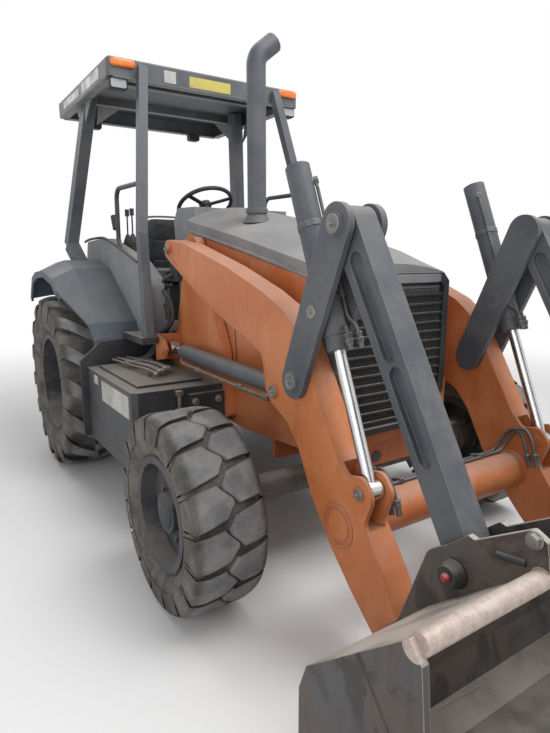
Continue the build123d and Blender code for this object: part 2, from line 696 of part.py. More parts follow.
def make_posts():
    """Four posts that carry the canopy and spread as they go down."""
    front = post((932, 640, DECK_TOP_Z - 30), (842, FRONT_KNEE_Y, 1600), (585, FRONT_HEAD_Y, 2600), 56, 56)
    front -= block((500, 1100), (500, 800), (900, DECK_TOP_Z))
    foot_y, knee_y, head_y = CONSOLE_OUTER_Y + 100, CONSOLE_OUTER_Y + 145, ROOF_HALF_WIDTH - 105
    rear = post((-300, foot_y, 1400), (-400, knee_y, 1560), (-170, head_y, ROOF_TOP_Z - ROOF_SHEET), 80, 105)
    rear -= side_plate(polygon(FENDER_TOP + [(630, 800), (-770, 800)]), (CONSOLE_OUTER_Y - 20, FENDER_OUTER_Y))
    rear -= block((-600, 100), (400, 900), (ROOF_TOP_Z - ROOF_SHEET, ROOF_TOP_Z + 100))
    return both_sides(front + rear - make_canopy())


def make_canopy():
    """The roof: a shallow tray, open below, with two ribs under its sheet."""
    low = ROOF_TOP_Z - ROOF_DEPTH
    roof = block((ROOF_REAR_X, ROOF_FRONT_X), (-ROOF_HALF_WIDTH, ROOF_HALF_WIDTH), (low, ROOF_TOP_Z))
    roof = fillet(roof.edges().filter_by(Axis.Z), ROOF_CORNER_RADIUS)
    roof = chamfer(roof.faces().sort_by(Axis.Z)[-1].edges(), ROOF_EDGE_CHAMFER)
    wall = 28
    inside = ((ROOF_REAR_X + wall, ROOF_FRONT_X - wall), (wall - ROOF_HALF_WIDTH, ROOF_HALF_WIDTH - wall))
    roof -= block(*inside, (low - 1, ROOF_TOP_Z - ROOF_SHEET))
    for x in (-350, 220):
        roof += block((x, x + 50), inside[1], (ROOF_TOP_Z - 60, ROOF_TOP_Z - ROOF_SHEET))
    return roof


def make_lamps():
    """Two amber lamps in the roof's front and four work lamps below its edges."""
    z = ROOF_TOP_Z - 34
    amber = block((ROOF_FRONT_X, ROOF_FRONT_X + 22), (540, 660), (z - 22, z + 22))
    low = ROOF_TOP_Z - ROOF_DEPTH
    work = block((ROOF_FRONT_X - 80, ROOF_FRONT_X - 10), (560, 680), (low - 70, low))
    work += block((ROOF_REAR_X + 10, ROOF_REAR_X + 80), (380, 480), (low - 60, low))
    return {"amber_lamps": both_sides(amber), "work_lamps": both_sides(work)}


def make_grab_rails():
    """A bent grab rail from each front post back and down to the console."""
    rail_y = CONSOLE_OUTER_Y - 5
    post_y = FRONT_KNEE_Y + (FRONT_HEAD_Y - FRONT_KNEE_Y) * RAIL_UP_POST
    points = ((762, post_y, 1905), (290, rail_y, 1912), (285, rail_y, 1575), (380, CONSOLE_OUTER_Y - 18, 1480))
    path = FilletPolyline(*points, radius=[70, 60])
    run = Vector(*points[1]) - Vector(*points[0])
    rail = sweep(Plane(origin=points[0], z_dir=run) * Circle(15), path=path)
    return both_sides(rail - make_posts() - make_consoles())


# Hitch
HITCH_PIN = (-330, 560)
HITCH_BALL = (HITCH_END_X + 40, 420)
ROCKER_PIN = (-500, 840)
LIFT_LUG = (-650, 490)
HITCH_Y = 300
HITCH_BALL_BORE = 14.35
LOWER_LINK_PLATE = 24
HITCH_PIN_RADIUS = 18
LIFT_PIN_RADIUS = 14
SHAFT_RADIUS = 30


def make_hitch():
    """The rear hitch: a fixed frame, a rockshaft with two arms, two lift rods and two lower links."""
    arm_end = tuple(c + l - h for c, l, h in zip(ROCKER_PIN, LIFT_LUG, HITCH_PIN))
    inner = RAIL_OUTER_Y - RAIL_THICKNESS
    lug = side_plate(tapered_link(HITCH_PIN, (-330, 700), 45, 60), (HITCH_Y - 40, HITCH_Y - 18))
    lug += cross_pin(HITCH_PIN, HITCH_PIN_RADIUS, (HITCH_Y - 18, HITCH_Y + 34))
    lug += block((-390, -270), (HITCH_Y - 40, inner), (735, 770))
    carrier = side_plate(polygon([(-430, 760), (-430, 875), (-515, 895), (-555, 840), (-515, 785)]), (150, 180))
    carrier -= cross_pin(ROCKER_PIN, SHAFT_RADIUS + RUNNING_CLEARANCE, (0, 500))
    frame = both_sides(lug + carrier)
    shaft = cross_pin(ROCKER_PIN, SHAFT_RADIUS, (-HITCH_Y - 10, HITCH_Y + 10))
    arm = side_plate(tapered_link(ROCKER_PIN, arm_end, 48, 32), (HITCH_Y - 12, HITCH_Y + 10))
    arm += cross_pin(arm_end, LIFT_PIN_RADIUS, (HITCH_Y + 10, HITCH_Y + 40))
    shaft += arm + mirrored(arm)
    link = side_plate(tapered_link(HITCH_PIN, HITCH_BALL, 38, 40), (HITCH_Y - LOWER_LINK_PLATE / 2, HITCH_Y + LOWER_LINK_PLATE / 2))
    link -= cross_pin(HITCH_PIN, HITCH_PIN_RADIUS + RUNNING_CLEARANCE, (0, 500))
    link -= cross_pin(HITCH_BALL, HITCH_BALL_BORE, (0, 500))
    link += cross_pin(LIFT_LUG, LIFT_PIN_RADIUS, (HITCH_Y + LOWER_LINK_PLATE / 2, HITCH_Y + 40))
    lift = side_plate(tapered_link(arm_end, LIFT_LUG, 26, 26), (HITCH_Y + 16, HITCH_Y + 36))
    for pin in (arm_end, LIFT_LUG):
        lift -= cross_pin(pin, LIFT_PIN_RADIUS + RUNNING_CLEARANCE, (0, 500))
    return {
        "hitch_frame": frame,
        "hitch_rockshaft": shaft,
        "hitch_lift_rods": both_sides(lift),
        "hitch_lower_links": both_sides(link),
    }


# Loader
ARM_OUTLINE = [
    # X, Z and corner radius, from the rear end along the top, round the bucket's pin and back below
    (1068, 1568, 50), (1338, 1534, 300), (1790, 1424, 300), (2104, 1327, 300), (2262, 1262, 120),
    (2353, 1194, 120), (2478, 1000, 400), (2615, 768, 150), (2676, 705, 25), (2760, 725, 45),
    (2812, 660, 45), (2772, 552, 40), (2869, 422, 80), (3019, 168, 60), (2927, 92, 60), (2712, 279, 300),
    (2573, 419, 300), (2476, 548, 200), (2379, 724, 150), (2300, 810, 60), (2190, 858, 45), (2140, 905, 30),
    (2125, 1035, 30), (2086, 1066, 40), (1940, 1118, 300), (1689, 1201, 300), (1457, 1295, 200),
    (1068, 1474, 40),
]


def make_arm():
    """The left loader arm: a deep box that bends down at its knee, bored for its pins."""
    arm = side_plate(rounded(ARM_OUTLINE), (ARM_LOW_Y, ARM_HIGH_Y))
    fork_low, fork_high = ARM_LOW_Y + 18, ARM_HIGH_Y - 18
    reach = TILT_ROD_RADIUS + POCKET_ROOM
    arm -= side_plate(disc(TILT_ROD_PIN, reach), (fork_low, fork_high))
    slot = polygon([(2060, 780), (2060, 1045), (2150, 1010), (2262, 985), (2300, 900), (2300, 780)])
    arm -= side_plate(slot, (ARM_CENTRE_Y - LIFT_BARREL_RADIUS - 6, ARM_CENTRE_Y + LIFT_BARREL_RADIUS - 2))
    for pin, radius in ((TOWER_PIN, PIN_RADIUS), (CRANK_PIN, PIN_RADIUS), (BUCKET_PIN, PIN_RADIUS)):
        arm -= cross_pin(pin, radius + RUNNING_CLEARANCE, (300, 700))
    arm += cross_pin(LIFT_PIN, 20, (ARM_LOW_Y, ARM_HIGH_Y))
    arm += cross_pin(LIFT_PIN, 30, (ARM_HIGH_Y, ARM_HIGH_Y + 12))
    for y in (ARM_LOW_Y - 4, ARM_HIGH_Y):
        arm += cross_pin(TILT_ROD_PIN, 26, (y, y + 4))
    ring = cross_pin(TORQUE_TUBE_AT, TORQUE_TUBE_RADIUS, (ARM_HIGH_Y, ARM_HIGH_Y + 4))
    arm += ring - cross_pin(TORQUE_TUBE_AT, TORQUE_TUBE_RADIUS - 14, (ARM_HIGH_Y, ARM_HIGH_Y + 4))
    return arm


def make_torque_tube():
    """The tube that joins the two arms."""
    return cross_pin(TORQUE_TUBE_AT, TORQUE_TUBE_RADIUS, (-ARM_LOW_Y, ARM_LOW_Y))


def make_lift_cylinders():
    """The lift cylinders, drawn closed: barrels pinned in the arms, rods that reach back to the towers."""
    y = ARM_CENTRE_Y - 4
    eye_half = 27
    front = toward(LIFT_PIN, LIFT_ROD_PIN, 62)
    back = toward(LIFT_PIN, LIFT_ROD_PIN, 62 + LIFT_BARREL_LENGTH)
    shell = rod(at_y(front, y), at_y(back, y), LIFT_BARREL_RADIUS)
    shell += cross_pin(LIFT_PIN, 36, (y - eye_half, y + eye_half))
    shell += bar(at_y(LIFT_PIN, y), at_y(front, y), Rectangle(2 * eye_half, 56))
    shell -= cross_pin(LIFT_PIN, 20 + RUNNING_CLEARANCE, (300, 700))
    bore_end = toward(LIFT_PIN, LIFT_ROD_PIN, 110)
    shell -= rod(at_y(bore_end, y), at_y(toward(LIFT_PIN, LIFT_ROD_PIN, 1150), y), LIFT_ROD_RADIUS + RUNNING_CLEARANCE)
    rod_start = toward(LIFT_PIN, LIFT_ROD_PIN, 130)
    shaft = rod(at_y(rod_start, y), at_y(toward(LIFT_ROD_PIN, LIFT_PIN, 20), y), LIFT_ROD_RADIUS)
    shaft += cross_pin(LIFT_ROD_PIN, 38, (y - eye_half, y + eye_half))
    return {"lift_barrels": both_sides(shell), "lift_rods": both_sides(shaft)}


def make_bell_cranks():
    """A pair of long plates on each side of each arm, on one pin, with bores for a cylinder's trunnions."""
    outline = tapered_link(CRANK_PIN, LINK_TOP_PIN, 68, 72)
    cranks = cross_pin(CRANK_PIN, PIN_RADIUS, (GAP_LOW_Y, GAP_HIGH_Y))
    for low, high in ((GAP_LOW_Y - CRANK_PLATE, GAP_LOW_Y), (GAP_HIGH_Y, GAP_HIGH_Y + CRANK_PLATE)):
        plate = side_plate(outline, (low, high))
        plate -= cross_pin(TRUNNION_PIN, TRUNNION_RADIUS + RUNNING_CLEARANCE, (low - 1, high + 1))
        cranks += plate
    outer = GAP_HIGH_Y + CRANK_PLATE
    for pin in (CRANK_PIN, LINK_TOP_PIN):
        cranks += cross_pin(pin, 40, (outer, outer + 8))
    return both_sides(cranks)


def make_tilt_cylinders():
    """The tilt cylinders: barrels hung in the cranks by trunnions near their heads, rods down to the arms."""
    y = ARM_CENTRE_Y
    top = toward(TRUNNION_PIN, TILT_ROD_PIN, -TILT_BARREL_ABOVE)
    head = toward(TRUNNION_PIN, TILT_ROD_PIN, TILT_HEAD_BELOW)
    shell = rod(at_y(top, y), at_y(head, y), TILT_BARREL_RADIUS)
    shell += cross_pin(TRUNNION_PIN, TRUNNION_RADIUS, (GAP_LOW_Y - CRANK_PLATE, GAP_HIGH_Y + CRANK_PLATE))
    bore_top = toward(TRUNNION_PIN, TILT_ROD_PIN, -TILT_BARREL_ABOVE + 25)
    bore_end = toward(TRUNNION_PIN, TILT_ROD_PIN, TILT_HEAD_BELOW + 20)
    shell -= rod(at_y(bore_top, y), at_y(bore_end, y), TILT_ROD_RADIUS + RUNNING_CLEARANCE)
    rod_start = toward(TRUNNION_PIN, TILT_ROD_PIN, -80)
    shaft = rod(at_y(rod_start, y), at_y(toward(TILT_ROD_PIN, TRUNNION_PIN, 20), y), TILT_ROD_RADIUS)
    shaft += cross_pin(TILT_ROD_PIN, 36, (y - 30, y + 30))
    return {"tilt_barrels": both_sides(shell), "tilt_rods": both_sides(shaft)}


LINK_HALF_WIDTH = 50


def make_bucket_links():
    """The long cast links from the cranks to the bucket, with two pockets in their outer faces."""
    outline = tapered_link(LINK_TOP_PIN, LINK_LOW_PIN, 62, 50)
    low, high = ARM_CENTRE_Y - LINK_HALF_WIDTH, ARM_CENTRE_Y + LINK_HALF_WIDTH
    link = side_plate(outline, (low, high))
    for start, end in ((0.12, 0.42), (0.48, 0.72)):
        pocket = tapered_link(
            toward(LINK_TOP_PIN, LINK_LOW_PIN, 1130 * start), toward(LINK_TOP_PIN, LINK_LOW_PIN, 1130 * end), 30, 26
        )
        link -= side_plate(pocket, (high - 22, high))
        link -= side_plate(pocket, (low, low + 22))
    link += cross_pin(LINK_LOW_PIN, PIN_RADIUS, (GAP_LOW_Y - EAR_PLATE, GAP_HIGH_Y + EAR_PLATE))
    return both_sides(link)


BUCKET_WALL = 12
BUCKET_BACK = [
    # X and Z along the inside of the sheet, from the floor's front edge to the lip
    (BUCKET_EDGE_X - 180, 14), (3180, 14), (3090, 60), (3052, 160), (3052, 330), (3098, 428), (3420, 702),
]


def make_bucket():
    """The bucket: a bent sheet between two side plates, a lip tube, an edge bar and four ear plates."""
    half = BUCKET_WIDTH / 2
    outer = [(BUCKET_EDGE_X - 180, 2), (3176, 2), (3082, 50), (3040, 156), (3040, 334), (3088, 436), (3412, 712)]
    sheet = side_plate(polygon(outer + BUCKET_BACK[::-1]), (-half + 20, half - 20))
    side = polygon([
        (BUCKET_EDGE_X - 180, 2), (3176, 2), (3082, 50), (3040, 156), (3040, 334), (3072, 421),
        (3411, 718), (3449, 678), (3470, 480), (BUCKET_EDGE_X - 60, 60), (BUCKET_EDGE_X - 45, 22.3),
        (BUCKET_EDGE_X - 180, 22.3),
    ])
    shell = sheet
    for y in (-half, half - 20):
        shell += side_plate(side, (y, y + 20))
    lip = rod((3424, -half + 20, 704), (3424, half - 20, 704), 26)
    shell += lip
    edge = side_plate(
        polygon([(BUCKET_EDGE_X - 179.5, 0), (BUCKET_EDGE_X, 0), (BUCKET_EDGE_X, 8), (BUCKET_EDGE_X - 30, 22), (BUCKET_EDGE_X - 179.5, 22)]),
        (-half, half),
    )
    ear_outline = rounded([
        (2863, 118, 60), (2866, 205, 60), (2971, 320, 80), (3076, 618, 60), (3132, 656, 25), (3211, 724, 8),
        (3233, 719, 8), (3390, 819, 15), (3432, 800, 10), (3444, 728, 4), (3412, 712, 0), (3088, 436, 0),
        (3040, 334, 0), (3040, 156, 0), (3005, 118, 20),
    ])
    ears = cross_pin(BUCKET_PIN, PIN_RADIUS, (GAP_LOW_Y, GAP_HIGH_Y))
    for low in (GAP_LOW_Y - EAR_PLATE, GAP_HIGH_Y):
        ear = side_plate(ear_outline, (low, low + EAR_PLATE))
        ear -= cross_pin(LINK_LOW_PIN, PIN_RADIUS + RUNNING_CLEARANCE, (low - 1, low + EAR_PLATE + 1))
        ears += ear
    ears -= rod((3424, -half + 20, 704), (3424, half - 20, 704), 26)
    return {"bucket_shell": shell, "bucket_cutting_edge": edge, "bucket_ears": both_sides(ears)}


def build():
    """Every node by name."""
    nodes = {
        "main_frame": make_main_frame(),
        "loader_towers": make_loader_towers(),
        "rear_axle": make_rear_axle(),
        "front_axle": make_front_axle(),
        "engine_block": make_engine(),
        "gearbox": make_gearbox(),
        "hood": make_hood(),
        "hood_side_panels": make_hood_side_panels(),
        "grille": make_grille(),
        "cowl": make_cowl(),
        "exhaust_stack": make_exhaust(),
        "platform": make_platform(),
        "fuel_tank": make_tank(),
        "hydraulic_tank": mirrored(make_tank()),
        "rear_fenders": make_fenders(),
        "side_consoles": make_consoles(),
        "steering_column": make_column(),
        "steering_wheel": make_steering_wheel(),
        "control_lever": make_lever(),
        "rops_posts": make_posts(),
        "canopy": make_canopy(),
        "grab_rails": make_grab_rails(),
        "torque_tube": make_torque_tube(),
        "bell_cranks": make_bell_cranks(),
        "bucket_links": make_bucket_links(),
    }
    arm, knuckle = make_arm(), make_knuckle()
    for name, side in SIDES:
        nodes[f"loader_arm_{name}"] = on_side(arm, side)
        nodes[f"steering_knuckle_{name}"] = on_side(knuckle, side)
    for group in (make_wheels, make_seat, make_lamps, make_hitch, make_lift_cylinders, make_tilt_cylinders, make_bucket):
        nodes.update(group())
    return nodes


def write(nodes):
    """Write each node as a STEP file, moved so that the origin is under the middle of the machine."""
    os.makedirs("parts", exist_ok=True)
    shift = Location((-X_MIDDLE, 0, 0))
    for name, shape in nodes.items():
        solids = [solid.moved(shift) for solid in shape.solids()]
        export_step(Compound(solids), f"parts/{name}.step")


NODES = build()
write(NODES)
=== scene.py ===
from math import cos, radians, sin

import bmesh
import bpy
import numpy as np
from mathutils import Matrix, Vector


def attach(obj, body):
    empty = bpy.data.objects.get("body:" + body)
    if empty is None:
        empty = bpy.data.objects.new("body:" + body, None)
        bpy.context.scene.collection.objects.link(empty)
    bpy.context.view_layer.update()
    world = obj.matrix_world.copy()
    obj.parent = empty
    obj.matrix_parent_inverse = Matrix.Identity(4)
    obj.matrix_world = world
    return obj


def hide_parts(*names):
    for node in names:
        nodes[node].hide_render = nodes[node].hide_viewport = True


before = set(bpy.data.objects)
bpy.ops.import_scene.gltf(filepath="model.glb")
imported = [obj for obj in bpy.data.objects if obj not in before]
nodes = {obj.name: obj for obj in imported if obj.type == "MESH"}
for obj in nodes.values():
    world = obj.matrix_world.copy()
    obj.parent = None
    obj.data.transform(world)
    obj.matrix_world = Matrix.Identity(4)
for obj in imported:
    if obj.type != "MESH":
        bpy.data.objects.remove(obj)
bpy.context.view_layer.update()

# Floor, backdrop and light
# A plain pale floor that fades into a white backdrop, one large soft panel above and ahead
# of the machine, and a fill on the side of the camera.


def put(tree, kind, sockets=None, **settings):
    """Add a shader node. Each socket is set by name or number to a value or to another node's output."""
    node = tree.nodes.new("ShaderNode" + kind)
    for name, value in settings.items():
        setattr(node, name, value)
    for name, value in (sockets or {}).items():
        if isinstance(value, bpy.types.NodeSocket):
            tree.links.new(value, node.inputs[name])
        else:
            node.inputs[name].default_value = value
    return node


def reckon(operation, *values, clamp=False):
    """The output of a Math node on values and sockets, in the tree of the sockets."""
    tree = [value.id_data for value in values if isinstance(value, bpy.types.NodeSocket)][0]
    return put(tree, "Math", dict(enumerate(values)), operation=operation, use_clamp=clamp).outputs[0]


def ramp(value, low, high, to_low=0.0, to_high=1.0):
    """A smooth step of a socket's value from low to high, put out between to_low and to_high."""
    sockets = {"Value": value, "From Min": low, "From Max": high, "To Min": to_low, "To Max": to_high}
    return put(value.id_data, "MapRange", sockets, interpolation_type="SMOOTHSTEP").outputs[0]


def blank_material(name):
    """A new material, its node tree and its Principled shader."""
    material = bpy.data.materials.new(name)
    material.use_nodes = True
    return material, material.node_tree, material.node_tree.nodes["Principled BSDF"]


scene = bpy.context.scene
scene.view_settings.view_transform = "Standard"


def placed(name, data):
    """A new object in the scene."""
    thing = bpy.data.objects.new(name, data)
    scene.collection.objects.link(thing)
    return thing


world = bpy.data.worlds.new("white_backdrop")
scene.world = world
world.use_nodes = True
tree = world.node_tree
sky_light, sky_in_gloss = 0.42, 0.75
ray = put(tree, "LightPath")
seen = reckon("MAXIMUM", ray.outputs["Is Camera Ray"], ray.outputs["Is Transmission Ray"])
seen = reckon("MAXIMUM", seen, reckon("MULTIPLY", ray.outputs["Is Glossy Ray"], sky_in_gloss))
sky = tree.nodes["Background"]
sky.inputs["Color"].default_value = (1.0, 1.0, 1.0, 1.0)
tree.links.new(ramp(seen, 0.0, 1.0, sky_light, 1.0), sky.inputs["Strength"])

floor_half = 30.0
floor_mesh = bpy.data.meshes.new("floor")
corners = np.array([(-1, -1, 0), (1, -1, 0), (1, 1, 0), (-1, 1, 0)]) * floor_half
floor_mesh.from_pydata(corners.tolist(), [], [(0, 1, 2, 3)])
floor = placed("floor", floor_mesh)
paper, tree, shader = blank_material("pale_paper")
floor_mesh.materials.append(paper)
shader.inputs["Base Color"].default_value = (0.8, 0.8, 0.8, 1.0)
shader.inputs["Roughness"].default_value = 0.9
shader.inputs["Specular IOR Level"].default_value = 0.1
place = put(tree, "TexCoord").outputs["Object"]
reach = put(tree, "VectorMath", {0: place}, operation="LENGTH").outputs["Value"]
glow = put(tree, "Emission", {"Color": (1.0, 1.0, 1.0, 1.0), "Strength": 1.0})
away = put(tree, "MixShader", {0: ramp(reach, 2.6, 7.5), 1: shader.outputs[0], 2: glow.outputs[0]})
tree.links.new(away.outputs[0], tree.nodes["Material Output"].inputs["Surface"])

panels = (
    # name, place, target, size, power in watts
    ("panel_above", (2.6, 1.2, 6.4), (0.2, 0, 0.8), 4.5, 330.0),
    ("panel_fill", (3.6, -4.6, 2.6), (0.2, 0, 1), 3.5, 75.0),
    ("panel_rear", (-4.5, -1.5, 4.5), (0, 0, 1), 3.0, 60.0),
)
for name, at, target, size, power in panels:
    lamp = bpy.data.lights.new(name, "AREA")
    lamp.shape = "DISK"
    lamp.size = size
    lamp.energy = power
    holder = placed(name, lamp)
    holder.location = at
    holder.rotation_euler = (Vector(target) - Vector(at)).to_track_quat("-Z", "Y").to_euler()

# Camera
# It stands where the photograph was taken, to the right of the bucket, and looks back and down.
camera_heading = radians(33.148)
camera_pitch = radians(11.211)
camera_place = (2.636, -1.796, 1.466)
view_height_px, focal_px = 733.0, 551.39
eye = bpy.data.cameras.new("camera")
eye.sensor_width = 36.0
eye.lens = focal_px / view_height_px * eye.sensor_width
camera = placed("camera", eye)
camera.location = camera_place
line_of_sight = Vector((
    -cos(camera_heading) * cos(camera_pitch),
    sin(camera_heading) * cos(camera_pitch),
    -sin(camera_pitch),
))
camera.rotation_euler = line_of_sight.to_track_quat("-Z", "Y").to_euler()
scene.camera = camera

# Main frame, loader towers, arms and torque tube
# Welded plate, sprayed orange. The paint has faded where the sun reaches it, it is rubbed dark at
# the edges, and dust from the yard lies on whatever faces up.


def new_group(name, knob, **outputs):
    """A shader node group with one float input and named outputs, the input's socket and the outputs' sockets."""
    group = bpy.data.node_groups.new(name, "ShaderNodeTree")
    group.interface.new_socket(knob, in_out="INPUT", socket_type="NodeSocketFloat")
    for label, kind in outputs.items():
        group.interface.new_socket(label, in_out="OUTPUT", socket_type="NodeSocket" + kind)
    return group, group.nodes.new("NodeGroupInput").outputs[0], group.nodes.new("NodeGroupOutput").inputs


def noise(place, scale, detail, roughness, distortion=0.0):
    """The value of a Noise Texture at a place."""
    sockets = {"Vector": place, "Scale": scale, "Detail": detail, "Roughness": roughness, "Distortion": distortion}
    return put(place.id_data, "TexNoise", sockets).outputs["Fac"]


def mixed(share, first, second):
    """Two colours mixed by a socket's share. Each is a socket, or red, green and blue."""
    first, second = (end if isinstance(end, bpy.types.NodeSocket) else (*end, 1.0) for end in (first, second))
    return put(share.id_data, "Mix", {0: share, 6: first, 7: second}, data_type="RGBA").outputs[2]


# Patches, streaks and grain: wide noise, noise drawn out down the piece, and fine noise.
weathering, patch_scale, ends = new_group("weathering", "Patch Scale", Patches="Float", Streaks="Float", Grain="Float")
place = put(weathering, "TexCoord").outputs["Object"]
drawn = put(weathering, "Mapping", {"Vector": place, "Scale": (17.0, 17.0, 2.6)}).outputs[0]
weathering.links.new(noise(place, patch_scale, 5.0, 0.62), ends["Patches"])
weathering.links.new(noise(drawn, 1.0, 6.0, 0.7, 0.6), ends["Streaks"])
weathering.links.new(noise(place, 240.0, 2.0, 0.6), ends["Grain"])

# Rubbed edges: how far a rounded normal turns from the face's own, broken up by noise.
rubbed_edges, wear, ends = new_group("rubbed_edges", "Wear", Mask="Float", Normal="Vector")
tree = rubbed_edges
round_normal = put(tree, "Bevel", {"Radius": 0.004}, samples=6).outputs[0]
face_normal = put(tree, "NewGeometry").outputs["Normal"]
turned_by = put(tree, "VectorMath", {0: round_normal, 1: face_normal}, operation="DOT_PRODUCT").outputs["Value"]
sharp = reckon("SUBTRACT", 1.0, turned_by)
broken = noise(put(tree, "TexCoord").outputs["Object"], 34.0, 5.0, 0.7)
limit = reckon("SUBTRACT", 0.62, reckon("MULTIPLY", wear, 0.4))
spots = ramp(reckon("ADD", broken, reckon("MULTIPLY", sharp, 0.9)), limit, 0.78)
tree.links.new(reckon("MULTIPLY", spots, ramp(sharp, 0.01, 0.1)), ends["Mask"])
tree.links.new(round_normal, ends["Normal"])

# Settled dust: what faces up, broken up by noise.
settled_dust, amount, ends = new_group("settled_dust", "Amount", Mask="Float")
coordinates = put(settled_dust, "TexCoord")
upward = put(settled_dust, "SeparateXYZ", {0: coordinates.outputs["Normal"]}).outputs["Z"]
cloud = noise(coordinates.outputs["Object"], 7.0, 6.0, 0.7)
shown = ramp(reckon("ADD", ramp(upward, 0.2, 0.95, 0.0, 0.6), cloud), 0.62, 1.15)
settled_dust.links.new(reckon("MULTIPLY", shown, amount), ends["Mask"])


def place_group(tree, group, value):
    """The outputs of one use of a shader group, with its input set."""
    node = tree.nodes.new("ShaderNodeGroup")
    node.node_tree = group
    node.inputs[0].default_value = value
    return node.outputs


DUST = (0.33, 0.3, 0.27)


def surface(shader, base, rough, height, distance, strength, normal=None):
    """Give a shader its colour, roughness and bump, the bump laid on a normal where one is given."""
    tree, bump = shader.id_data, {"Height": height, "Distance": distance, "Strength": strength}
    if normal is not None:
        bump["Normal"] = normal
    ends = {"Base Color": base, "Roughness": rough, "Normal": put(tree, "Bump", bump).outputs[0]}
    for name, value in ends.items():
        tree.links.new(value, shader.inputs[name])


def weathered(name, fresh, faded, bare, wear, dust, grime, gloss, metal=0.0, patch=3.0, relief=0.0006):
    """A coated or bare metal finish: fresh and faded colour by patches, dark runs down it, bare metal at its
    edges and dust on top. Roughness follows the same masks, and a fine relief lies on the rounded normal."""
    material, tree, shader = blank_material(name)
    weather = place_group(tree, weathering, patch)
    edges = place_group(tree, rubbed_edges, wear)
    lying = place_group(tree, settled_dust, dust)
    base = mixed(ramp(weather["Patches"], 0.35, 0.68), fresh, faded)
    runs = ramp(weather["Streaks"], 0.48, 0.8, 0.0, grime)
    base = mixed(runs, base, [channel * 0.42 for channel in fresh])
    base = mixed(edges["Mask"], base, bare)
    base = mixed(lying["Mask"], base, DUST)
    shader.inputs["Metallic"].default_value = metal
    rough = ramp(weather["Patches"], 0.3, 0.7, gloss, gloss + 0.16)
    rough = reckon("ADD", rough, reckon("MULTIPLY", lying["Mask"], 0.35), clamp=True)
    height = reckon("SUBTRACT", weather["Grain"], edges["Mask"])
    surface(shader, base, rough, height, relief, 0.6, edges["Normal"])
    return material


def finish_nodes(material, *names):
    """Give CAD nodes their finish in the slots that they have."""
    for name in names:
        for part in nodes[name].material_slots:
            part.material = material


orange_paint = weathered(
    "orange_paint", (0.5, 0.145, 0.042), (0.6, 0.225, 0.095), (0.1, 0.065, 0.05),
    wear=0.6, dust=0.4, grime=0.34, gloss=0.42,
)
finish_nodes(orange_paint, "main_frame", "loader_towers", "loader_arm_left", "loader_arm_right",
             "torque_tube", "hood_side_panels")

# Cranks, links, cylinder barrels and posts
# Charcoal paint on plate, castings and tube, dusty, with bare steel where the plates rub.
charcoal_paint = weathered(
    "charcoal_paint", (0.06, 0.068, 0.082), (0.115, 0.12, 0.128), (0.3, 0.27, 0.24),
    wear=0.45, dust=0.45, grime=0.25, gloss=0.5,
)
finish_nodes(charcoal_paint, "bell_cranks", "bucket_links", "lift_barrels", "tilt_barrels", "rops_posts",
             "canopy", "exhaust_stack")

# Chromed rods
# Hard chrome on ground steel, with a thin film of oil and dust.
chrome = weathered(
    "chrome_rod", (0.62, 0.63, 0.65), (0.7, 0.7, 0.7), (0.45, 0.42, 0.38),
    wear=0.1, dust=0.15, grime=0.35, gloss=0.14, metal=1.0, relief=0.0001,
)
finish_nodes(chrome, "lift_rods", "tilt_rods")

# Hood, cowl and side consoles
# Moulded and sprayed grey-beige covers, chalky from the sun. The fresh colour is partly painted shade: a darker, bluer
# grey than the paint, as the covers look in shade under a blue sky.
# The fresh colour holds painted shade, and the faded colour is the paler paint.
grey_beige_cover_with_painted_shade = weathered(
    "grey_beige_cover_with_painted_shade", (0.175, 0.184, 0.196), (0.27, 0.273, 0.275), (0.12, 0.12, 0.12),
    wear=0.15, dust=0.3, grime=0.25, gloss=0.55,
)
finish_nodes(grey_beige_cover_with_painted_shade, "hood", "side_consoles", "cowl")

# Fenders
# Moulded blue-grey covers over the rear tyres, bolted down beside the seat, dusty on top. Their colour is partly
# painted shade: darker and bluer than the paint, as they look in shade under a blue sky.
# The fresh and faded colours hold painted shade as well as the blue-grey paint.
fender_finish_with_painted_shade = weathered(
    "blue_grey_cover_and_painted_shade", (0.038, 0.052, 0.078), (0.072, 0.088, 0.112), (0.05, 0.05, 0.05),
    wear=0.2, dust=0.24, grime=0.3, gloss=0.5,
)
finish_nodes(fender_finish_with_painted_shade, "rear_fenders")

# Tanks, deck, grille and rails
# Black paint and plastic, faded to dark grey, with mud on top.
black_paint = weathered(
    "black_paint", (0.022, 0.024, 0.028), (0.05, 0.052, 0.056), (0.16, 0.13, 0.11),
    wear=0.45, dust=0.6, grime=0.3, gloss=0.42,
)
finish_nodes(black_paint, "fuel_tank", "hydraulic_tank", "platform", "grab_rails", "grille",
             "hitch_frame", "hitch_rockshaft", "hitch_lift_rods", "hitch_lower_links", "seat_base")

# Axles, gearbox and engine
# Rough castings under thin grey paint and road dirt.
cast_grey = weathered(
    "cast_grey", (0.085, 0.08, 0.078), (0.15, 0.135, 0.12), (0.22, 0.17, 0.13),
    wear=0.4, dust=0.7, grime=0.6, gloss=0.65, relief=0.0015,
)
finish_nodes(cast_grey, "rear_axle", "front_axle", "gearbox", "engine_block",
             "steering_knuckle_left", "steering_knuckle_right")

# Bucket
# Hard steel plate, its paint gone: grey and brown sides with rust in the scratches, black stains
# inside, pale dust on the sloping back and a pink, polished lip tube.


def from_axis(place, x, z):
    """The distance of a place from the line along Y through x and z."""
    tree = place.id_data
    offset = put(tree, "VectorMath", {0: place, 1: (x, 0.0, z)}, operation="SUBTRACT").outputs[0]
    flat = put(tree, "VectorMath", {0: offset, 1: (1.0, 0.0, 1.0)}, operation="MULTIPLY").outputs[0]
    return put(tree, "VectorMath", {0: flat}, operation="LENGTH").outputs["Value"]


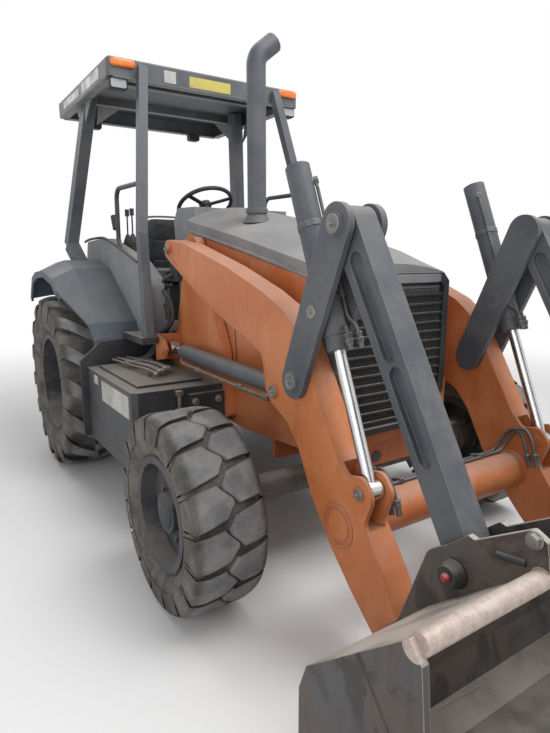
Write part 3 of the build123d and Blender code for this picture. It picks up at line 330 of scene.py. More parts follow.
scraped, tree, shader = blank_material("scraped_steel")
coordinates = put(tree, "TexCoord")
place = coordinates.outputs["Object"]
weather = place_group(tree, weathering, 4.0)
edges = place_group(tree, rubbed_edges, 0.8)
patches = weather["Patches"]
base = mixed(ramp(patches, 0.36, 0.64), (0.07, 0.068, 0.07), (0.11, 0.082, 0.066))
base = mixed(ramp(weather["Streaks"], 0.45, 0.75, 0.0, 0.6), base, (0.05, 0.042, 0.038))
blots = noise(place, 5.5, 4.0, 0.55, 0.8)
base = mixed(ramp(blots, 0.52, 0.62, 0.0, 0.75), base, (0.028, 0.024, 0.024))
scratch_lie = {"Vector": place, "Rotation": (0.0, 0.75, 0.0), "Scale": (2.0, 2.0, 46.0)}
scratch = noise(put(tree, "Mapping", scratch_lie).outputs[0], 1.0, 5.0, 0.75, 0.35)
base = mixed(ramp(scratch, 0.6, 0.68, 0.0, 0.7), base, (0.23, 0.125, 0.075))
base = mixed(edges["Mask"], base, (0.46, 0.37, 0.32))
up = put(tree, "SeparateXYZ", {0: coordinates.outputs["Normal"]}).outputs["Z"]
pale = reckon("MULTIPLY", ramp(up, 0.35, 0.75), ramp(patches, 0.3, 0.6, 0.45, 0.95))
base = mixed(pale, base, (0.47, 0.43, 0.38))
speckle = noise(place, 42.0, 5.0, 0.75)
lip_tone = mixed(ramp(speckle, 0.32, 0.72), (0.55, 0.49, 0.44), (0.43, 0.3, 0.25))
lip_x, lip_z = 1.979, 0.704
on_lip = ramp(from_axis(place, lip_x, lip_z), 0.028, 0.031, 0.92, 0.0)
base = mixed(on_lip, base, lip_tone)
shader.inputs["Metallic"].default_value = 0.25
rough = ramp(patches, 0.3, 0.7, 0.42, 0.68)
height = reckon("SUBTRACT", reckon("ADD", weather["Grain"], speckle), ramp(scratch, 0.6, 0.68))
surface(shader, base, rough, height, 0.0012, 0.7, edges["Normal"])
finish_nodes(scraped, "bucket_shell", "bucket_cutting_edge", "bucket_ears")

# Tyres
# Moulded rubber on a rounded carcass with two staggered rows of lugs, blocks in front and bars
# behind. The lugs are worn grey, and brown dust lies in the grooves and on the sidewalls.


def quilt(points, around=True, looped=False):
    """Vertices and faces of a stack of grids shaped copies, rows, columns, 3. The columns close around unless
    told not to. The rows close on themselves, or else the ends, or an open grid's border, are capped."""
    copies, rows, columns = points.shape[:3]
    number = np.arange(copies * rows * columns).reshape(copies, rows, columns)
    if around:
        number = np.concatenate([number, number[:, :, :1]], axis=2)
    if looped:
        number = np.concatenate([number, number[:, :1]], axis=1)
    quads = [number[:, :-1, :-1], number[:, :-1, 1:], number[:, 1:, 1:], number[:, 1:, :-1]]
    faces = np.stack(quads, axis=-1).reshape(-1, 4).tolist()
    if around and not looped:
        faces += number[:, 0, :-1].tolist() + number[:, -1, :-1].tolist()
    elif not looped:
        border = [number[:, 0], number[:, 1:, -1], number[:, -1, -2::-1], number[:, -2:0:-1, 0]]
        faces += np.concatenate(border, axis=1).tolist()
    return points.reshape(-1, 3), faces


def piece(name, body, material, *shapes):
    """A finished object from quilts, or from stacks of grids to close around: normals outward, smooth but for
    its sharp edges, riding on a body."""
    points, faces, first = [], [], 0
    for shape in shapes:
        vertices, corners = shape if isinstance(shape, tuple) else quilt(shape)
        points.append(vertices)
        faces += [[number + first for number in face] for face in corners]
        first += len(vertices)
    mesh = bpy.data.meshes.new(name)
    mesh.from_pydata(np.concatenate(points).tolist(), [], faces)
    sculpt = bmesh.new()
    sculpt.from_mesh(mesh)
    bmesh.ops.recalc_face_normals(sculpt, faces=sculpt.faces)
    sculpt.to_mesh(mesh)
    sculpt.free()
    mesh.shade_smooth()
    mesh.set_sharp_from_angle(angle=radians(38.0))
    mesh.materials.append(material)
    thing = placed(name, mesh)
    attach(thing, body)
    return thing


def flowing(points, spans=8):
    """Points along the quadratic B-spline of a row of points that starts and ends on its end points:
    each span between midpoints m0 and m1 about p is (1-t)^2 m0 + 2t(1-t) p + t^2 m1."""
    p = np.asarray(points, dtype=float)
    middle = (p[1:] + p[:-1]) / 2
    middle[0], middle[-1] = p[0], p[-1]
    t = np.linspace(0.0, 1.0, spans, endpoint=False)[None, :, None]
    first, bend, last = middle[:-1, None], p[1:-1, None], middle[1:, None]
    curve = (1 - t) ** 2 * first + 2 * t * (1 - t) * bend + t ** 2 * last
    return np.concatenate([curve.reshape(-1, p.shape[1]), p[-1:]])


def circle(steps):
    """Evenly spaced angles over one turn."""
    return np.linspace(0.0, 2 * np.pi, steps, endpoint=False)


def turned(profile, centre, side, steps=96):
    """A stack of one grid: a profile of Y and radius turned about the line along Y through a centre, both given
    for the left side and put on the side that is asked for: 1 left, -1 right."""
    y, radius = np.array(profile, dtype=float).T
    angle = circle(steps)
    grid = [np.outer(radius, np.cos(angle)), np.outer(y, np.ones(steps)), np.outer(radius, np.sin(angle))]
    return (np.stack(grid, -1)[None] + centre) * (1, side, 1)


def tread(inner, outer, radius, half, depth, wall_y, wall_radius, flip, centre, side):
    """Lugs as a stack of grids, both rows. Share u runs from the inner end (0) to the outer end (1) and v along
    the tread; the plan is P = (1-u) inner(v) + u outer(v), in Y and arc. Each edge has three layers: the foot
    in the carcass, the top of the wall and the start of the flat, with a bevel between the last two.
    The top falls off towards the shoulder as 0.8 depth ((|y|/half - 0.55) / 0.45)^2."""
    bevel, draft, count = 0.005, 0.007, 16
    pitch = 2 * np.pi * radius / count
    flat = np.linspace(0.0, 1.0, 8)
    share = np.concatenate([[0, 0], flat, [1, 1]])
    shift = np.concatenate([[-draft, 0], bevel * np.sign(0.5 - flat) * (np.abs(flat - 0.5) > 0.49), [0, draft]])
    layer = np.concatenate([[0, 1], np.full(8, 2), [1, 0]])
    u, v = np.meshgrid(share, share, indexing="ij")
    ends = []
    for line in (inner, outer):
        stations = np.linspace(0.0, 1.0, len(line))
        ends.append(np.stack([np.interp(v, stations, values) for values in zip(*line)], -1))
    plan = ends[0] * (1 - u[..., None]) + ends[1] * u[..., None]
    y = plan[..., 0] * half + shift[:, None]
    arc = plan[..., 1] * pitch + shift[None, :]
    fall = 0.8 * depth * np.clip((np.abs(y) / half - 0.55) / 0.45, 0.0, 1.1) ** 2
    level = np.minimum(layer[:, None], layer[None, :])
    foot = np.interp(np.abs(y), wall_y, wall_radius) - 0.008
    reach = np.where(level == 0, foot, radius - fall - bevel * (level == 1))
    rows = []
    for row, (turn_y, turn_arc) in enumerate(((1, 1), (-1, -1 if flip else 1))):
        angle = turn_arc * arc[None] / radius + ((np.arange(count) + row / 2) * pitch / radius)[:, None, None]
        spread = np.broadcast_to(turn_y * y, angle.shape)
        rows.append(np.stack([reach * np.cos(angle), spread, reach * np.sin(angle)], -1))
    return (np.concatenate(rows) + centre) * (1, side, 1)


def tyre_rubber(name, axle_x, radius, depth):
    """Rubber of one tyre standing on the floor: tops of the lugs worn grey, dust in the grooves and on the
    sidewall, by the distance from the axle, with fine scuffs."""
    material, tree, shader = blank_material(name)
    place = put(tree, "TexCoord").outputs["Object"]
    distance = from_axis(place, axle_x, radius)
    tops = ramp(distance, radius - 0.5 * depth, radius - 0.12 * depth)
    groove = ramp(distance, radius - 1.5 * depth, radius - 0.95 * depth)
    weather = place_group(tree, weathering, 9.0)
    edges = place_group(tree, rubbed_edges, 0.35)
    patches = weather["Patches"]
    side_tone = mixed(ramp(patches, 0.38, 0.62), (0.105, 0.096, 0.088), (0.225, 0.203, 0.182))
    rubber_tone = mixed(ramp(patches, 0.35, 0.65), (0.042, 0.042, 0.044), (0.1, 0.096, 0.091))
    base = mixed(ramp(weather["Grain"], 0.4, 0.62, 0.25, 0.95), rubber_tone, side_tone)
    base = mixed(reckon("MULTIPLY", groove, 0.55), base, rubber_tone)
    top_tone = mixed(ramp(patches, 0.36, 0.66), (0.14, 0.142, 0.147), (0.24, 0.236, 0.23))
    base = mixed(reckon("MULTIPLY", tops, 0.9), base, top_tone)
    base = mixed(reckon("MULTIPLY", edges["Mask"], 0.7), base, (0.2, 0.175, 0.15))
    shader.inputs["Specular IOR Level"].default_value = 0.3
    rough = ramp(patches, 0.3, 0.7, 0.72, 0.92)
    surface(shader, base, rough, noise(place, 70.0, 6.0, 0.72), 0.006, 0.75, edges["Normal"])
    return material


tyres = (
    # end, X of the axle, Y of the wheel's middle, radius, half width, rim radius, lug depth, second row turned,
    # inner and outer end of a lug, as Y share of the half width and arc share of the pitch
    ("rear", -1.445, 0.845, 0.6, 0.215, 0.315, 0.036, False,
     ((-0.08, -0.22), (-0.08, -0.56)), ((0.97, 0.56), (0.97, 0.16))),
    ("front", 0.595, 0.905, 0.42, 0.155, 0.225, 0.024, True,
     ((0.25, 0.46), (-0.16, 0.08), (0.1, -0.24)), ((0.97, 0.36), (0.97, -0.46))),
)
for end, axle_x, wheel_y, radius, half, rim_radius, depth, flip, inner, outer in tyres:
    wall = radius - depth - rim_radius
    side_line = (
        # Y share of the half width, share of the wall's height
        (0.74, 0.002), (0.775, 0.05), (0.78, 0.13), (0.86, 0.19), (0.95, 0.34), (0.99, 0.5), (0.995, 0.6),
        (0.98, 0.74), (0.95, 0.86), (0.885, 0.955), (0.74, 0.995), (0.4, 1.02), (0.0, 1.025),
    )
    outline = flowing([(y * half, rim_radius + share * wall) for y, share in side_line], 6)
    ridge = 0.0035 * np.exp(-((outline[:, 1] - rim_radius - 0.52 * wall) / 0.004) ** 2)
    ridge += 0.0025 * np.exp(-((outline[:, 1] - rim_radius - 0.3 * wall) / 0.003) ** 2)
    outline[:, 0] += ridge * (outline[:, 0] > 0.8 * half)
    outline[:, 0] = np.minimum(outline[:, 0], half - 0.0005)
    back = outline[::-1] * (-1, 1)
    profile = np.concatenate([outline, back[1:]])
    crown = outline[outline[:, 1] > rim_radius + 0.55 * wall][::-1]
    centre = (axle_x, wheel_y, radius)
    for hand, side in (("left", 1), ("right", -1)):
        rubber = tyre_rubber(f"rubber_{end}_{hand}", axle_x, radius, depth)
        carcass = quilt(turned(profile, centre, side), looped=True)
        blocks = tread(inner, outer, radius, half, depth, crown[:, 0], crown[:, 1], flip, centre, side)
        tyre = piece(f"{end}_tyre_tread_{hand}", f"{end}_wheel_{hand}", rubber, carcass, quilt(blocks, around=False))
        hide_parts(f"{end}_tyre_{hand}")

# Rims
# Pressed steel rims under dark paint, deep in dust, held by a ring of wheel nuts on studs.
rim_paint = weathered(
    "rim_paint", (0.03, 0.034, 0.044), (0.085, 0.082, 0.082), (0.16, 0.12, 0.09),
    wear=0.45, dust=0.55, grime=0.5, gloss=0.55, patch=7.0,
)
finish_nodes(rim_paint, "rear_rim_left", "rear_rim_right", "front_rim_left", "front_rim_right")


def unit(vectors):
    """Vectors scaled to length 1."""
    return vectors / np.linalg.norm(vectors, axis=-1, keepdims=True)


def spokes(along, steps, odd=(0.37, 0.71, 0.13)):
    """Unit vectors around a direction t at angles a: cos(a) u + sin(a) t x u, with u along t x odd."""
    first, angle = unit(np.cross(along, odd)), circle(steps)[:, None]
    return np.cos(angle) * first[..., None, :] + np.sin(angle) * np.cross(along, first)[..., None, :]


def heads(places, toward, across, height, washer=0.003):
    """Hexagon heads on washers, as a stack of grids standing on places and pointing one way. At angle a the
    hexagon's radius is across / 2 / cos(a mod 60 - 30 degrees)."""
    normal, steps = unit(toward), 24
    hexagon = across / 2 / np.cos(np.mod(circle(steps), np.pi / 3) - np.pi / 6)
    washer_edge, crown = np.full(steps, across * 0.66), np.full(steps, across * 0.465)
    radii = np.stack([washer_edge, washer_edge, hexagon, hexagon, np.minimum(hexagon, across * 0.535), crown])
    rise = np.array([-0.002, washer, washer, washer + height * 0.86, washer + height * 0.93, washer + height])
    shape = radii[..., None] * spokes(normal, steps, (0.31, 0.52, 0.79)) + rise[:, None, None] * normal
    return np.asarray(places, dtype=float)[:, None, None] + shape[None]


def ring_of(centre, radius, count):
    """Places on a circle about a line along Y."""
    angle = circle(count) + 0.2
    return centre + radius * np.stack([np.cos(angle), 0 * angle, np.sin(angle)], -1)


wheel_nuts = (
    # end, X of the axle, Y of the disc's outer face, Y of the hub's outer face, axle height, bolt circle, size
    ("rear", -1.445, 0.823, 0.865, 0.6, 0.17, 0.034),
    ("front", 0.595, 0.963, 1.01, 0.42, 0.12, 0.028),
)
for end, axle_x, disc_y, hub_y, height, bolt_circle, size in wheel_nuts:
    for hand, side in (("left", 1), ("right", -1)):
        nuts = heads(ring_of((axle_x, side * disc_y, height), bolt_circle, 8), (0, side, 0), size, size * 0.6)
        cap = [(-0.001, size * 2.3), (0.003, size * 2.3), (0.009, size * 2.1), (0.013, size * 1.2), (0.014, 0.002)]
        cap = turned(cap, (axle_x, hub_y, height), side, 48)
        piece(f"{end}_wheel_nuts_{hand}", f"{end}_wheel_{hand}", rim_paint, nuts, cap)

# Steering wheel and levers
# Black moulded grips over steel, and two net-textured boots on the right console, each with a
# thin lever rod out of its top.
soft_black = weathered(
    "soft_black", (0.02, 0.02, 0.021), (0.04, 0.039, 0.038), (0.07, 0.07, 0.07),
    wear=0.3, dust=0.35, grime=0.2, gloss=0.55, relief=0.0004,
)
finish_nodes(soft_black, "steering_wheel", "control_lever", "steering_column")


def tube(points, radius, sides=12, spans=8):
    """A stack of one grid: a round tube along the flowing line through its points."""
    path = flowing(points, spans)
    return (path[:, None] + radius * spokes(unit(np.gradient(path, axis=0)), sides))[None]


def slab(centre, across, up, thickness, corner, bevel=0.0012):
    """A stack of one grid: a plate with rounded corners. Across and up are its half sizes as vectors, and it
    stands out from its centre along their cross product by its thickness."""
    right, top = unit(across), unit(up)
    half_width, half_height = np.linalg.norm(across), np.linalg.norm(up)
    angle = circle(40) + 0.02
    rows = []
    for inset, rise in ((0.0, -0.002), (0.0, thickness - bevel), (bevel, thickness)):
        x = np.sign(np.cos(angle)) * (half_width - corner) + (corner - inset) * np.cos(angle)
        y = np.sign(np.sin(angle)) * (half_height - corner) + (corner - inset) * np.sin(angle)
        rows.append(x[:, None] * right + y[:, None] * top + rise * np.cross(right, top))
    return np.stack(rows)[None] + centre


boot_line = flowing([
    # height, radius
    (0.0, 0.043), (0.012, 0.045), (0.035, 0.036), (0.075, 0.038), (0.115, 0.029), (0.165, 0.03), (0.205, 0.018),
    (0.225, 0.01),
])
pleats = 1 + 0.05 * np.sin(boot_line[:, :1] * 2 * np.pi / 0.018)
angle = circle(40)
squarish = 1 / (np.abs(np.cos(angle)) ** 4 + np.abs(np.sin(angle)) ** 4) ** 0.25
radius = boot_line[:, 1:] * pleats * squarish
height = boot_line[:, :1] + 0 * angle
boot_y, boot_foot = -0.452, 1.402
levers = []
for x, lean in ((-1.385, 0.1), (-1.27, 0.06)):
    boot = [x + radius * np.cos(angle) + lean * height, boot_y + radius * np.sin(angle), boot_foot + height]
    rod = [(x + lean * 0.22, boot_y, 1.62), (x + lean * 0.27, boot_y, 1.68), (x + lean * 0.34, -0.454, 1.76)]
    knob = [(x + lean * 0.335, -0.454, 1.752), (x + lean * 0.36, -0.4545, 1.775), (x + lean * 0.385, -0.455, 1.8)]
    levers += [np.stack(boot, -1)[None], tube(rod, 0.0055), tube(knob, 0.015)]
levers.append(slab((-1.33, boot_y, 1.392), (0.125, 0, 0), (0, 0.049, 0), 0.012, 0.01))
piece("console_levers", "chassis", soft_black, *levers)
armrest = [
    # X, Z
    (-2.0, 1.586), (-1.93, 1.602), (-1.6, 1.608), (-1.47, 1.604), (-1.2, 1.544), (-0.9, 1.464), (-0.8, 1.436),
]
trims = [tube([(x, side * 0.588, z) for x, z in armrest], 0.0095, 10) for side in (-1, 1)]
piece("console_trims", "chassis", soft_black, *trims)

# Hood, grille and side panels
# The hood overlaps the side panels with a rolled lip. A fine wire mesh stands behind the grille's
# bars, and a beige strip caps the nose. Two panel joints cross each orange side.
nose_x, wire, mesh_top = 0.845, 0.0022, 1.325
wires = []
for height in np.linspace(0.755, mesh_top, 48):
    reach = 0.297 - max(0.0, 0.86 - height) * 0.5
    bow = ((0.0195, -reach), (0.0197, 0.0), (0.0195, reach))
    wires.append(tube([(nose_x + ahead, y, height) for ahead, y in bow], wire, 6, 1))
for y in np.linspace(-0.29, 0.29, 49):
    low = 0.735 + max(0.0, abs(y) - 0.24) * 1.6
    bow = ((0.0225, low), (0.0227, 1.0), (0.0225, mesh_top))
    wires.append(tube([(nose_x + ahead, y, z) for ahead, z in bow], wire, 6, 1))
piece("grille_mesh", "chassis", soft_black, *wires)

hood_line = ((-0.485, 0.385, 1.624), (0.075, 0.385, 1.522), (0.615, 0.371, 1.406), (0.84, 0.33, 1.344))
lips = [tube([(x, side * y, z) for x, y, z in hood_line], 0.011, 12, 10) for side in (-1, 1)]
piece("hood_lips", "chassis", grey_beige_cover_with_painted_shade, *lips)
cap = slab((nose_x + 0.046, 0, 1.372), (0, 0.262, 0), (0, 0, 0.019), 0.003, 0.012)
band = slab((nose_x + 0.018, 0, 1.322), (0, 0.285, 0), (0, 0, 0.016), 0.003, 0.006)
piece("nose_strips", "chassis", grey_beige_cover_with_painted_shade, cap, band)

panel_y = 0.3845
seam_lines = (
    # X, Z
    ((0.055, 1.4), (0.075, 1.22), (0.105, 0.9)),
    ((-0.17, 1.52), (-0.165, 1.2), (-0.16, 0.9)),
)
seams = [tube([(x, side * panel_y, z) for x, z in line], 0.0028, 8) for side in (-1, 1) for line in seam_lines]
piece("panel_joints", "chassis", soft_black, *seams)

# Pins
# Turned pins of the loader, stepped and dished at their ends, each with a grease nipple. They are
# zinc-plated steel, dull with dust, as are the bolts further on.
bolt_steel = weathered(
    "bolt_steel", (0.16, 0.155, 0.15), (0.3, 0.285, 0.265), (0.42, 0.4, 0.37),
    wear=0.6, dust=0.5, grime=0.6, gloss=0.42, metal=0.6,
)


def pin_end(x, z, face_y, side, radius):
    """A stepped pin end with a dished middle and a grease nipple, as a turned profile."""
    line = [
        (-0.002, radius), (0.004, radius), (0.006, radius - 0.002), (0.006, radius * 0.62), (0.0035, radius * 0.56),
        (0.0035, 0.0075), (0.011, 0.006), (0.013, 0.0035), (0.0165, 0.0035), (0.0175, 0.0015),
    ]
    return turned(line, (x, face_y, z), side, 40)


pins = (
    # name, body, X, Z, Y of the face, radius
    ("crank_pin_ends", "bell_cranks", 0.931, 0.994, 0.613, 0.034),
    ("crank_top_pin_ends", "bell_cranks", 1.173, 1.574, 0.613, 0.034),
    ("trunnion_ends", "tilt_barrels", 1.052, 1.272, 0.605, 0.024),
    ("tower_pin_ends", "chassis", -0.315, 1.51, 0.589, 0.024),
    ("lift_pin_ends", "arms", 0.765, 0.92, 0.587, 0.026),
    ("tilt_rod_pin_ends", "arms", 1.3, 0.66, 0.579, 0.022),
    ("link_low_pin_ends", "bucket_links", 1.733, 0.593, 0.6, 0.024),
    ("bucket_pin_ends", "bucket", 1.485, 0.185, 0.6, 0.034),
)
for name, body, x, z, face_y, radius in pins:
    piece(name, body, bolt_steel, *(pin_end(x, z, face_y, side, radius) for side in (-1, 1)))

# Tank bracket, sight gauge and hydraulic lines
# Zinc bolts hold the bracket on the tank. Dusty steel lines run from the valve behind the tower
# down and under the deck, held in clamps. Others run along the lift and tilt barrels and the torque tube.


def on_side(side, *points):
    """Points given for the left side, put on the side that is asked for."""
    return np.array(points, dtype=float) * (1, side, 1)


valve_lines = (
    # radius, points
    (0.01, (-0.52, 0.435, 1.42), (-0.5, 0.47, 1.43), (-0.44, 0.475, 1.42), (-0.42, 0.455, 1.38),
     (-0.46, 0.452, 1.33)),
    (0.0125, (-0.56, 0.455, 1.36), (-0.6, 0.5, 1.34), (-0.61, 0.51, 1.27), (-0.5, 0.5, 1.21), (-0.46, 0.5, 1.15),
     (-0.47, 0.505, 1.07), (-0.6, 0.53, 1.0), (-0.63, 0.55, 0.93), (-0.62, 0.58, 0.86), (-0.66, 0.64, 0.832),
     (-0.76, 0.7, 0.828)),
    (0.0125, (-0.56, 0.455, 1.3), (-0.64, 0.49, 1.28), (-0.68, 0.5, 1.23), (-0.56, 0.5, 1.16), (-0.52, 0.5, 1.1),
     (-0.55, 0.505, 1.02), (-0.64, 0.53, 0.97), (-0.66, 0.56, 0.9), (-0.67, 0.6, 0.85), (-0.71, 0.66, 0.829),
     (-0.77, 0.74, 0.827)),
)
tank_bolts, gauges, lines, valves, clamps = [], [], [], [], []
for side in (-1, 1):
    on_tank = on_side(side, (0.07, 0.482, 0.725), (0.07, 0.482, 0.631), (0.07, 0.615, 0.725), (0.07, 0.615, 0.56))
    tank_bolts.append(heads(on_tank, (1, 0, 0), 0.03, 0.014))
    on_frame = [(-0.485 + step * 0.11, side * 0.445, 0.7) for step in range(3)]
    tank_bolts.append(heads(on_frame, (0, side, 0), 0.028, 0.014))
    gauges.append(tube(on_side(side, (0.056, 0.7, 0.772), (0.058, 0.7, 0.71), (0.056, 0.7, 0.648)), 0.01, 16, 4))
    for z in (0.779, 0.641):
        gauges.append(slab((0.034, side * 0.7, z), (0, 0.018, 0), (0, 0, 0.012), 0.034, 0.004))
    valves += [
        slab((-0.545, side * 0.405, 1.395), (0.055, 0, 0), (0, 0, 0.075), -side * 0.05, 0.008),
        slab((-0.49, side * 0.405, 1.435), (0.025, 0, 0), (0, 0, 0.045), -side * 0.04, 0.006),
        *(tube(on_side(side, *points), radius) for radius, *points in valve_lines),
    ]
    for step in range(5):
        x, y, z = -0.3 + 0.03 * step, 0.612 + 0.03 * step, 0.842 + 0.006 * (step % 2)
        run = on_side(side, (x, y, z), (x - 0.1, y + 0.01, z + 0.012), (x - 0.22, y + 0.02, z + 0.004),
                      (x - 0.34, y + 0.035, z), (-0.79, y + 0.05, z - 0.008))
        lines.append(tube(run, 0.0078))
        tank_bolts.append(heads([run[0] - (0.004, 0, 0)], (1, 0, -0.05), 0.022, 0.022, 0.008))
    clamps += [
        slab((-0.295, side * 0.672, 0.814), (0.035, 0, 0), (0, 0.078, 0), 0.026, 0.006),
        slab((-0.56, side * 0.69, 0.814), (0.02, 0, 0), (0, 0.085, 0), 0.042, 0.006),
    ]
line_steel = weathered(
    "line_steel", (0.1, 0.085, 0.075), (0.22, 0.18, 0.15), (0.34, 0.26, 0.2),
    wear=0.5, dust=0.75, grime=0.5, gloss=0.55, metal=0.3, patch=12.0,
)
piece("hydraulic_lines", "chassis", line_steel, *lines, *clamps)
piece("tower_valves", "chassis", soft_black, *valves)
piece("tank_bolts", "chassis", bolt_steel, *tank_bolts)
piece("sight_gauges", "chassis", line_steel, *gauges)

lift_line_y = 0.5595
lift_run = (
    (0.675, 0.552, 0.872), (0.64, 0.558, 0.868), (0.6, lift_line_y, 0.866), (0.25, lift_line_y, 0.87),
    (-0.1, lift_line_y, 0.8735), (-0.215, lift_line_y, 0.876), (-0.245, 0.553, 0.89), (-0.25, 0.54, 0.905),
)
barrel_lines = []
for side in (-1, 1):
    barrel_lines += [
        tube(on_side(side, *lift_run), 0.009),
        heads([(0.655, side * 0.556, 0.87)], (1, 0, 0), 0.028, 0.03, 0.006),
        *(heads([(x, side * lift_line_y, 0.8715)], (1, 0, 0), 0.026, 0.03, 0.004) for x in (0.43, -0.02)),
    ]
piece("lift_barrel_lines", "lift_barrels", line_steel, *barrel_lines)


def collar(start, end, inner, outer, bevel=0.003, steps=40):
    """A quilt: a bored ring from start to end, a bevelled rectangle turned about the line between them."""
    length = np.linalg.norm(end - start)
    along = unit(end - start)
    outside = [(0, outer - bevel), (bevel, outer), (length - bevel, outer), (length, outer - bevel)]
    reach = np.array([(0, inner), *outside, (length, inner)])[:, :, None, None]
    return quilt((start + reach[:, 0] * along + reach[:, 1] * spokes(along, steps))[None], looped=True)


tilt_down, tilt_forward = np.array([(0.3756, 0, -0.9268), (0.9268, 0, 0.3756)])


def beside(side, along, ahead=0, inward=0):
    """A point by a tilt cylinder: along its axis from the trunnion, ahead of it, and in toward the middle."""
    return np.array((1.052, side * (0.52 - inward), 1.272)) + along * tilt_down + ahead * tilt_forward


# Along, ahead and inward. Both lines end in a fitting and a short piece of hose.
elbow = 0.0405
long_run = (
    (-0.505, 0.028, 0.028), (-0.495, elbow, elbow), (-0.45, elbow, elbow), (-0.2, elbow, elbow), (0, elbow, elbow),
    (0.035, 0.041, 0.04), (0.055, 0.052, 0.04), (0.075, 0.072, 0.04), (0.095, 0.077, 0.04), (0.118, 0.078, 0.04),
)
short_run = ((0.074, 0.036, 0), (0.074, 0.052, 0), (0.078, 0.064, 0), (0.092, 0.067, 0), (0.118, 0.067, 0))
tilt_lines, tilt_glands = [], []
for side in (-1, 1):
    for run in (long_run, short_run):
        tilt_lines.append(tube([beside(side, *spot) for spot in run], 0.0068))
        reach, ahead, inward = run[-1]
        for start, size, height in ((-0.012, 0.023, 0.018), (0.01, 0.027, 0.014)):
            tilt_lines.append(heads([beside(side, reach + start, ahead, inward)], tilt_down, size, height, 0.002))
        hose = [beside(side, reach + step, ahead, inward) for step in (0.02, 0.03, 0.045)]
        tilt_lines.append(tube(hose, 0.0105))
    tilt_lines.append(heads([beside(side, -0.5, 0.03, 0.03)], (0.655, -side * 0.707, 0.266), 0.026, 0.02, 0.004))
    for low in (-0.34, -0.064):
        high = low + 0.022
        tilt_lines.append(collar(beside(side, low), beside(side, high), 0.0482, 0.0508, 0.0008))
        on_line = [beside(side, along, elbow, elbow) for along in (low, high)]
        tilt_lines.append(collar(*on_line, 0.0069, 0.01, 0.001, 24))
    tilt_glands.append(collar(beside(side, 0.094), beside(side, 0.15), 0.0262, 0.0435))
plated_line = weathered(
    "plated_line", (0.085, 0.088, 0.094), (0.15, 0.15, 0.155), (0.42, 0.4, 0.38),
    wear=0.6, dust=0.25, grime=0.4, gloss=0.42, metal=0.5, patch=12.0,
)
piece("tilt_barrel_lines", "tilt_barrels", plated_line, *tilt_lines)
piece("tilt_glands", "tilt_barrels", charcoal_paint, *tilt_glands)

torque_x, torque_z = 1.189, 0.497
cross_run = (
    # from the line's middle out to its left end, about the torque tube's top
    (0, 0, 0), (0, 0.2, 0), (0, 0.34, 0), (0.005, 0.385, 0.004), (0.015, 0.415, 0.05), (0.045, 0.43, 0.105),
    (0.085, 0.435, 0.125), (0.125, 0.43, 0.085), (0.145, 0.425, 0.03), (0.152, 0.423, 0.01),
)
drop = np.array((0.33, 0.0, -0.94))
cross_lines = []
for turn in (1.65, 2.05):
    lie = (torque_x + 0.0945 * cos(turn), 0, torque_z + 0.0945 * sin(turn))
    for side in (-1, 1):
        run = on_side(side, *cross_run) + lie
        cross_lines += [
            tube(run, 0.0075),
            heads([run[-1] - 0.01 * drop], drop, 0.025, 0.022, 0.003),
            tube([run[-1] + step * drop for step in (0.008, 0.02, 0.045)], 0.011),
        ]
turn = 1.85
for y in (-0.25, 0, 0.25):
    spot = (torque_x + 0.085 * cos(turn), y, torque_z + 0.085 * sin(turn))
    up = (0.03 * sin(turn), 0, -0.03 * cos(turn))
    cross_lines.append(slab(spot, (0, 0.012, 0), up, -0.02, 0.004))
piece("cross_tube_lines", "arms", plated_line, *cross_lines)

# Blank plates
# Where the machine carries lettering and stickers there are bare plates of the same size: thin
# vinyl or enamel, yellowed and scuffed.


def plate_finish(name, tone, dirt, coat=0.0):
    """Thin enamel or vinyl: one tone, blotched and scratched with dirt."""
    material, tree, shader = blank_material(name)
    shader.inputs["Coat Weight"].default_value = coat
    weather = place_group(tree, weathering, 6.0)
    base = mixed(ramp(weather["Patches"], 0.3, 0.75, 0.0, 0.55), tone, dirt)
    surface(shader, base, ramp(weather["Patches"], 0.3, 0.7, 0.35, 0.7), weather["Grain"], 0.0004, 0.4)
    return material


white_plate = plate_finish("white_plate", (0.5, 0.49, 0.47), (0.2, 0.18, 0.16))
yellow_plate = plate_finish("yellow_plate", (0.52, 0.44, 0.1), (0.3, 0.25, 0.09))
tank_face, roof_face, roof_front = -0.9395, -0.6898, -0.8752
whites = [
    slab((-0.265, tank_face, 0.712), (0.235, 0, 0), (0, 0, 0.06), 0.0018, 0.006),
    slab((-0.61, tank_face, 0.755), (0.04, 0, 0), (0, 0, 0.026), 0.0018, 0.004),
    slab((roof_front, -0.292, 2.578), (0, 0.04, 0), (0, 0, 0.036), 0.0016, 0.004),
    slab((-1.25, roof_face, 2.585), (0.2, 0, 0), (0, 0, 0.033), 0.0016, 0.004),
    slab((-1.75, roof_face, 2.585), (0.22, 0, 0), (0, 0, 0.025), 0.0016, 0.004),
]
piece("white_plates", "chassis", white_plate, *whites)
yellow = slab((roof_front, -0.01, 2.572), (0, 0.15, 0), (0, 0, 0.033), 0.0016, 0.003)
piece("yellow_plate", "chassis", yellow_plate, yellow)

# Beacons and work lamps
# Lozenge-shaped amber lenses in the roof's front, and flat glass in the work lamps' moulded shells.
amber = weathered(
    "amber_lens", (0.78, 0.16, 0.02), (0.8, 0.24, 0.05), (0.7, 0.3, 0.1),
    wear=0.1, dust=0.15, grime=0.15, gloss=0.18, relief=0.0003,
)


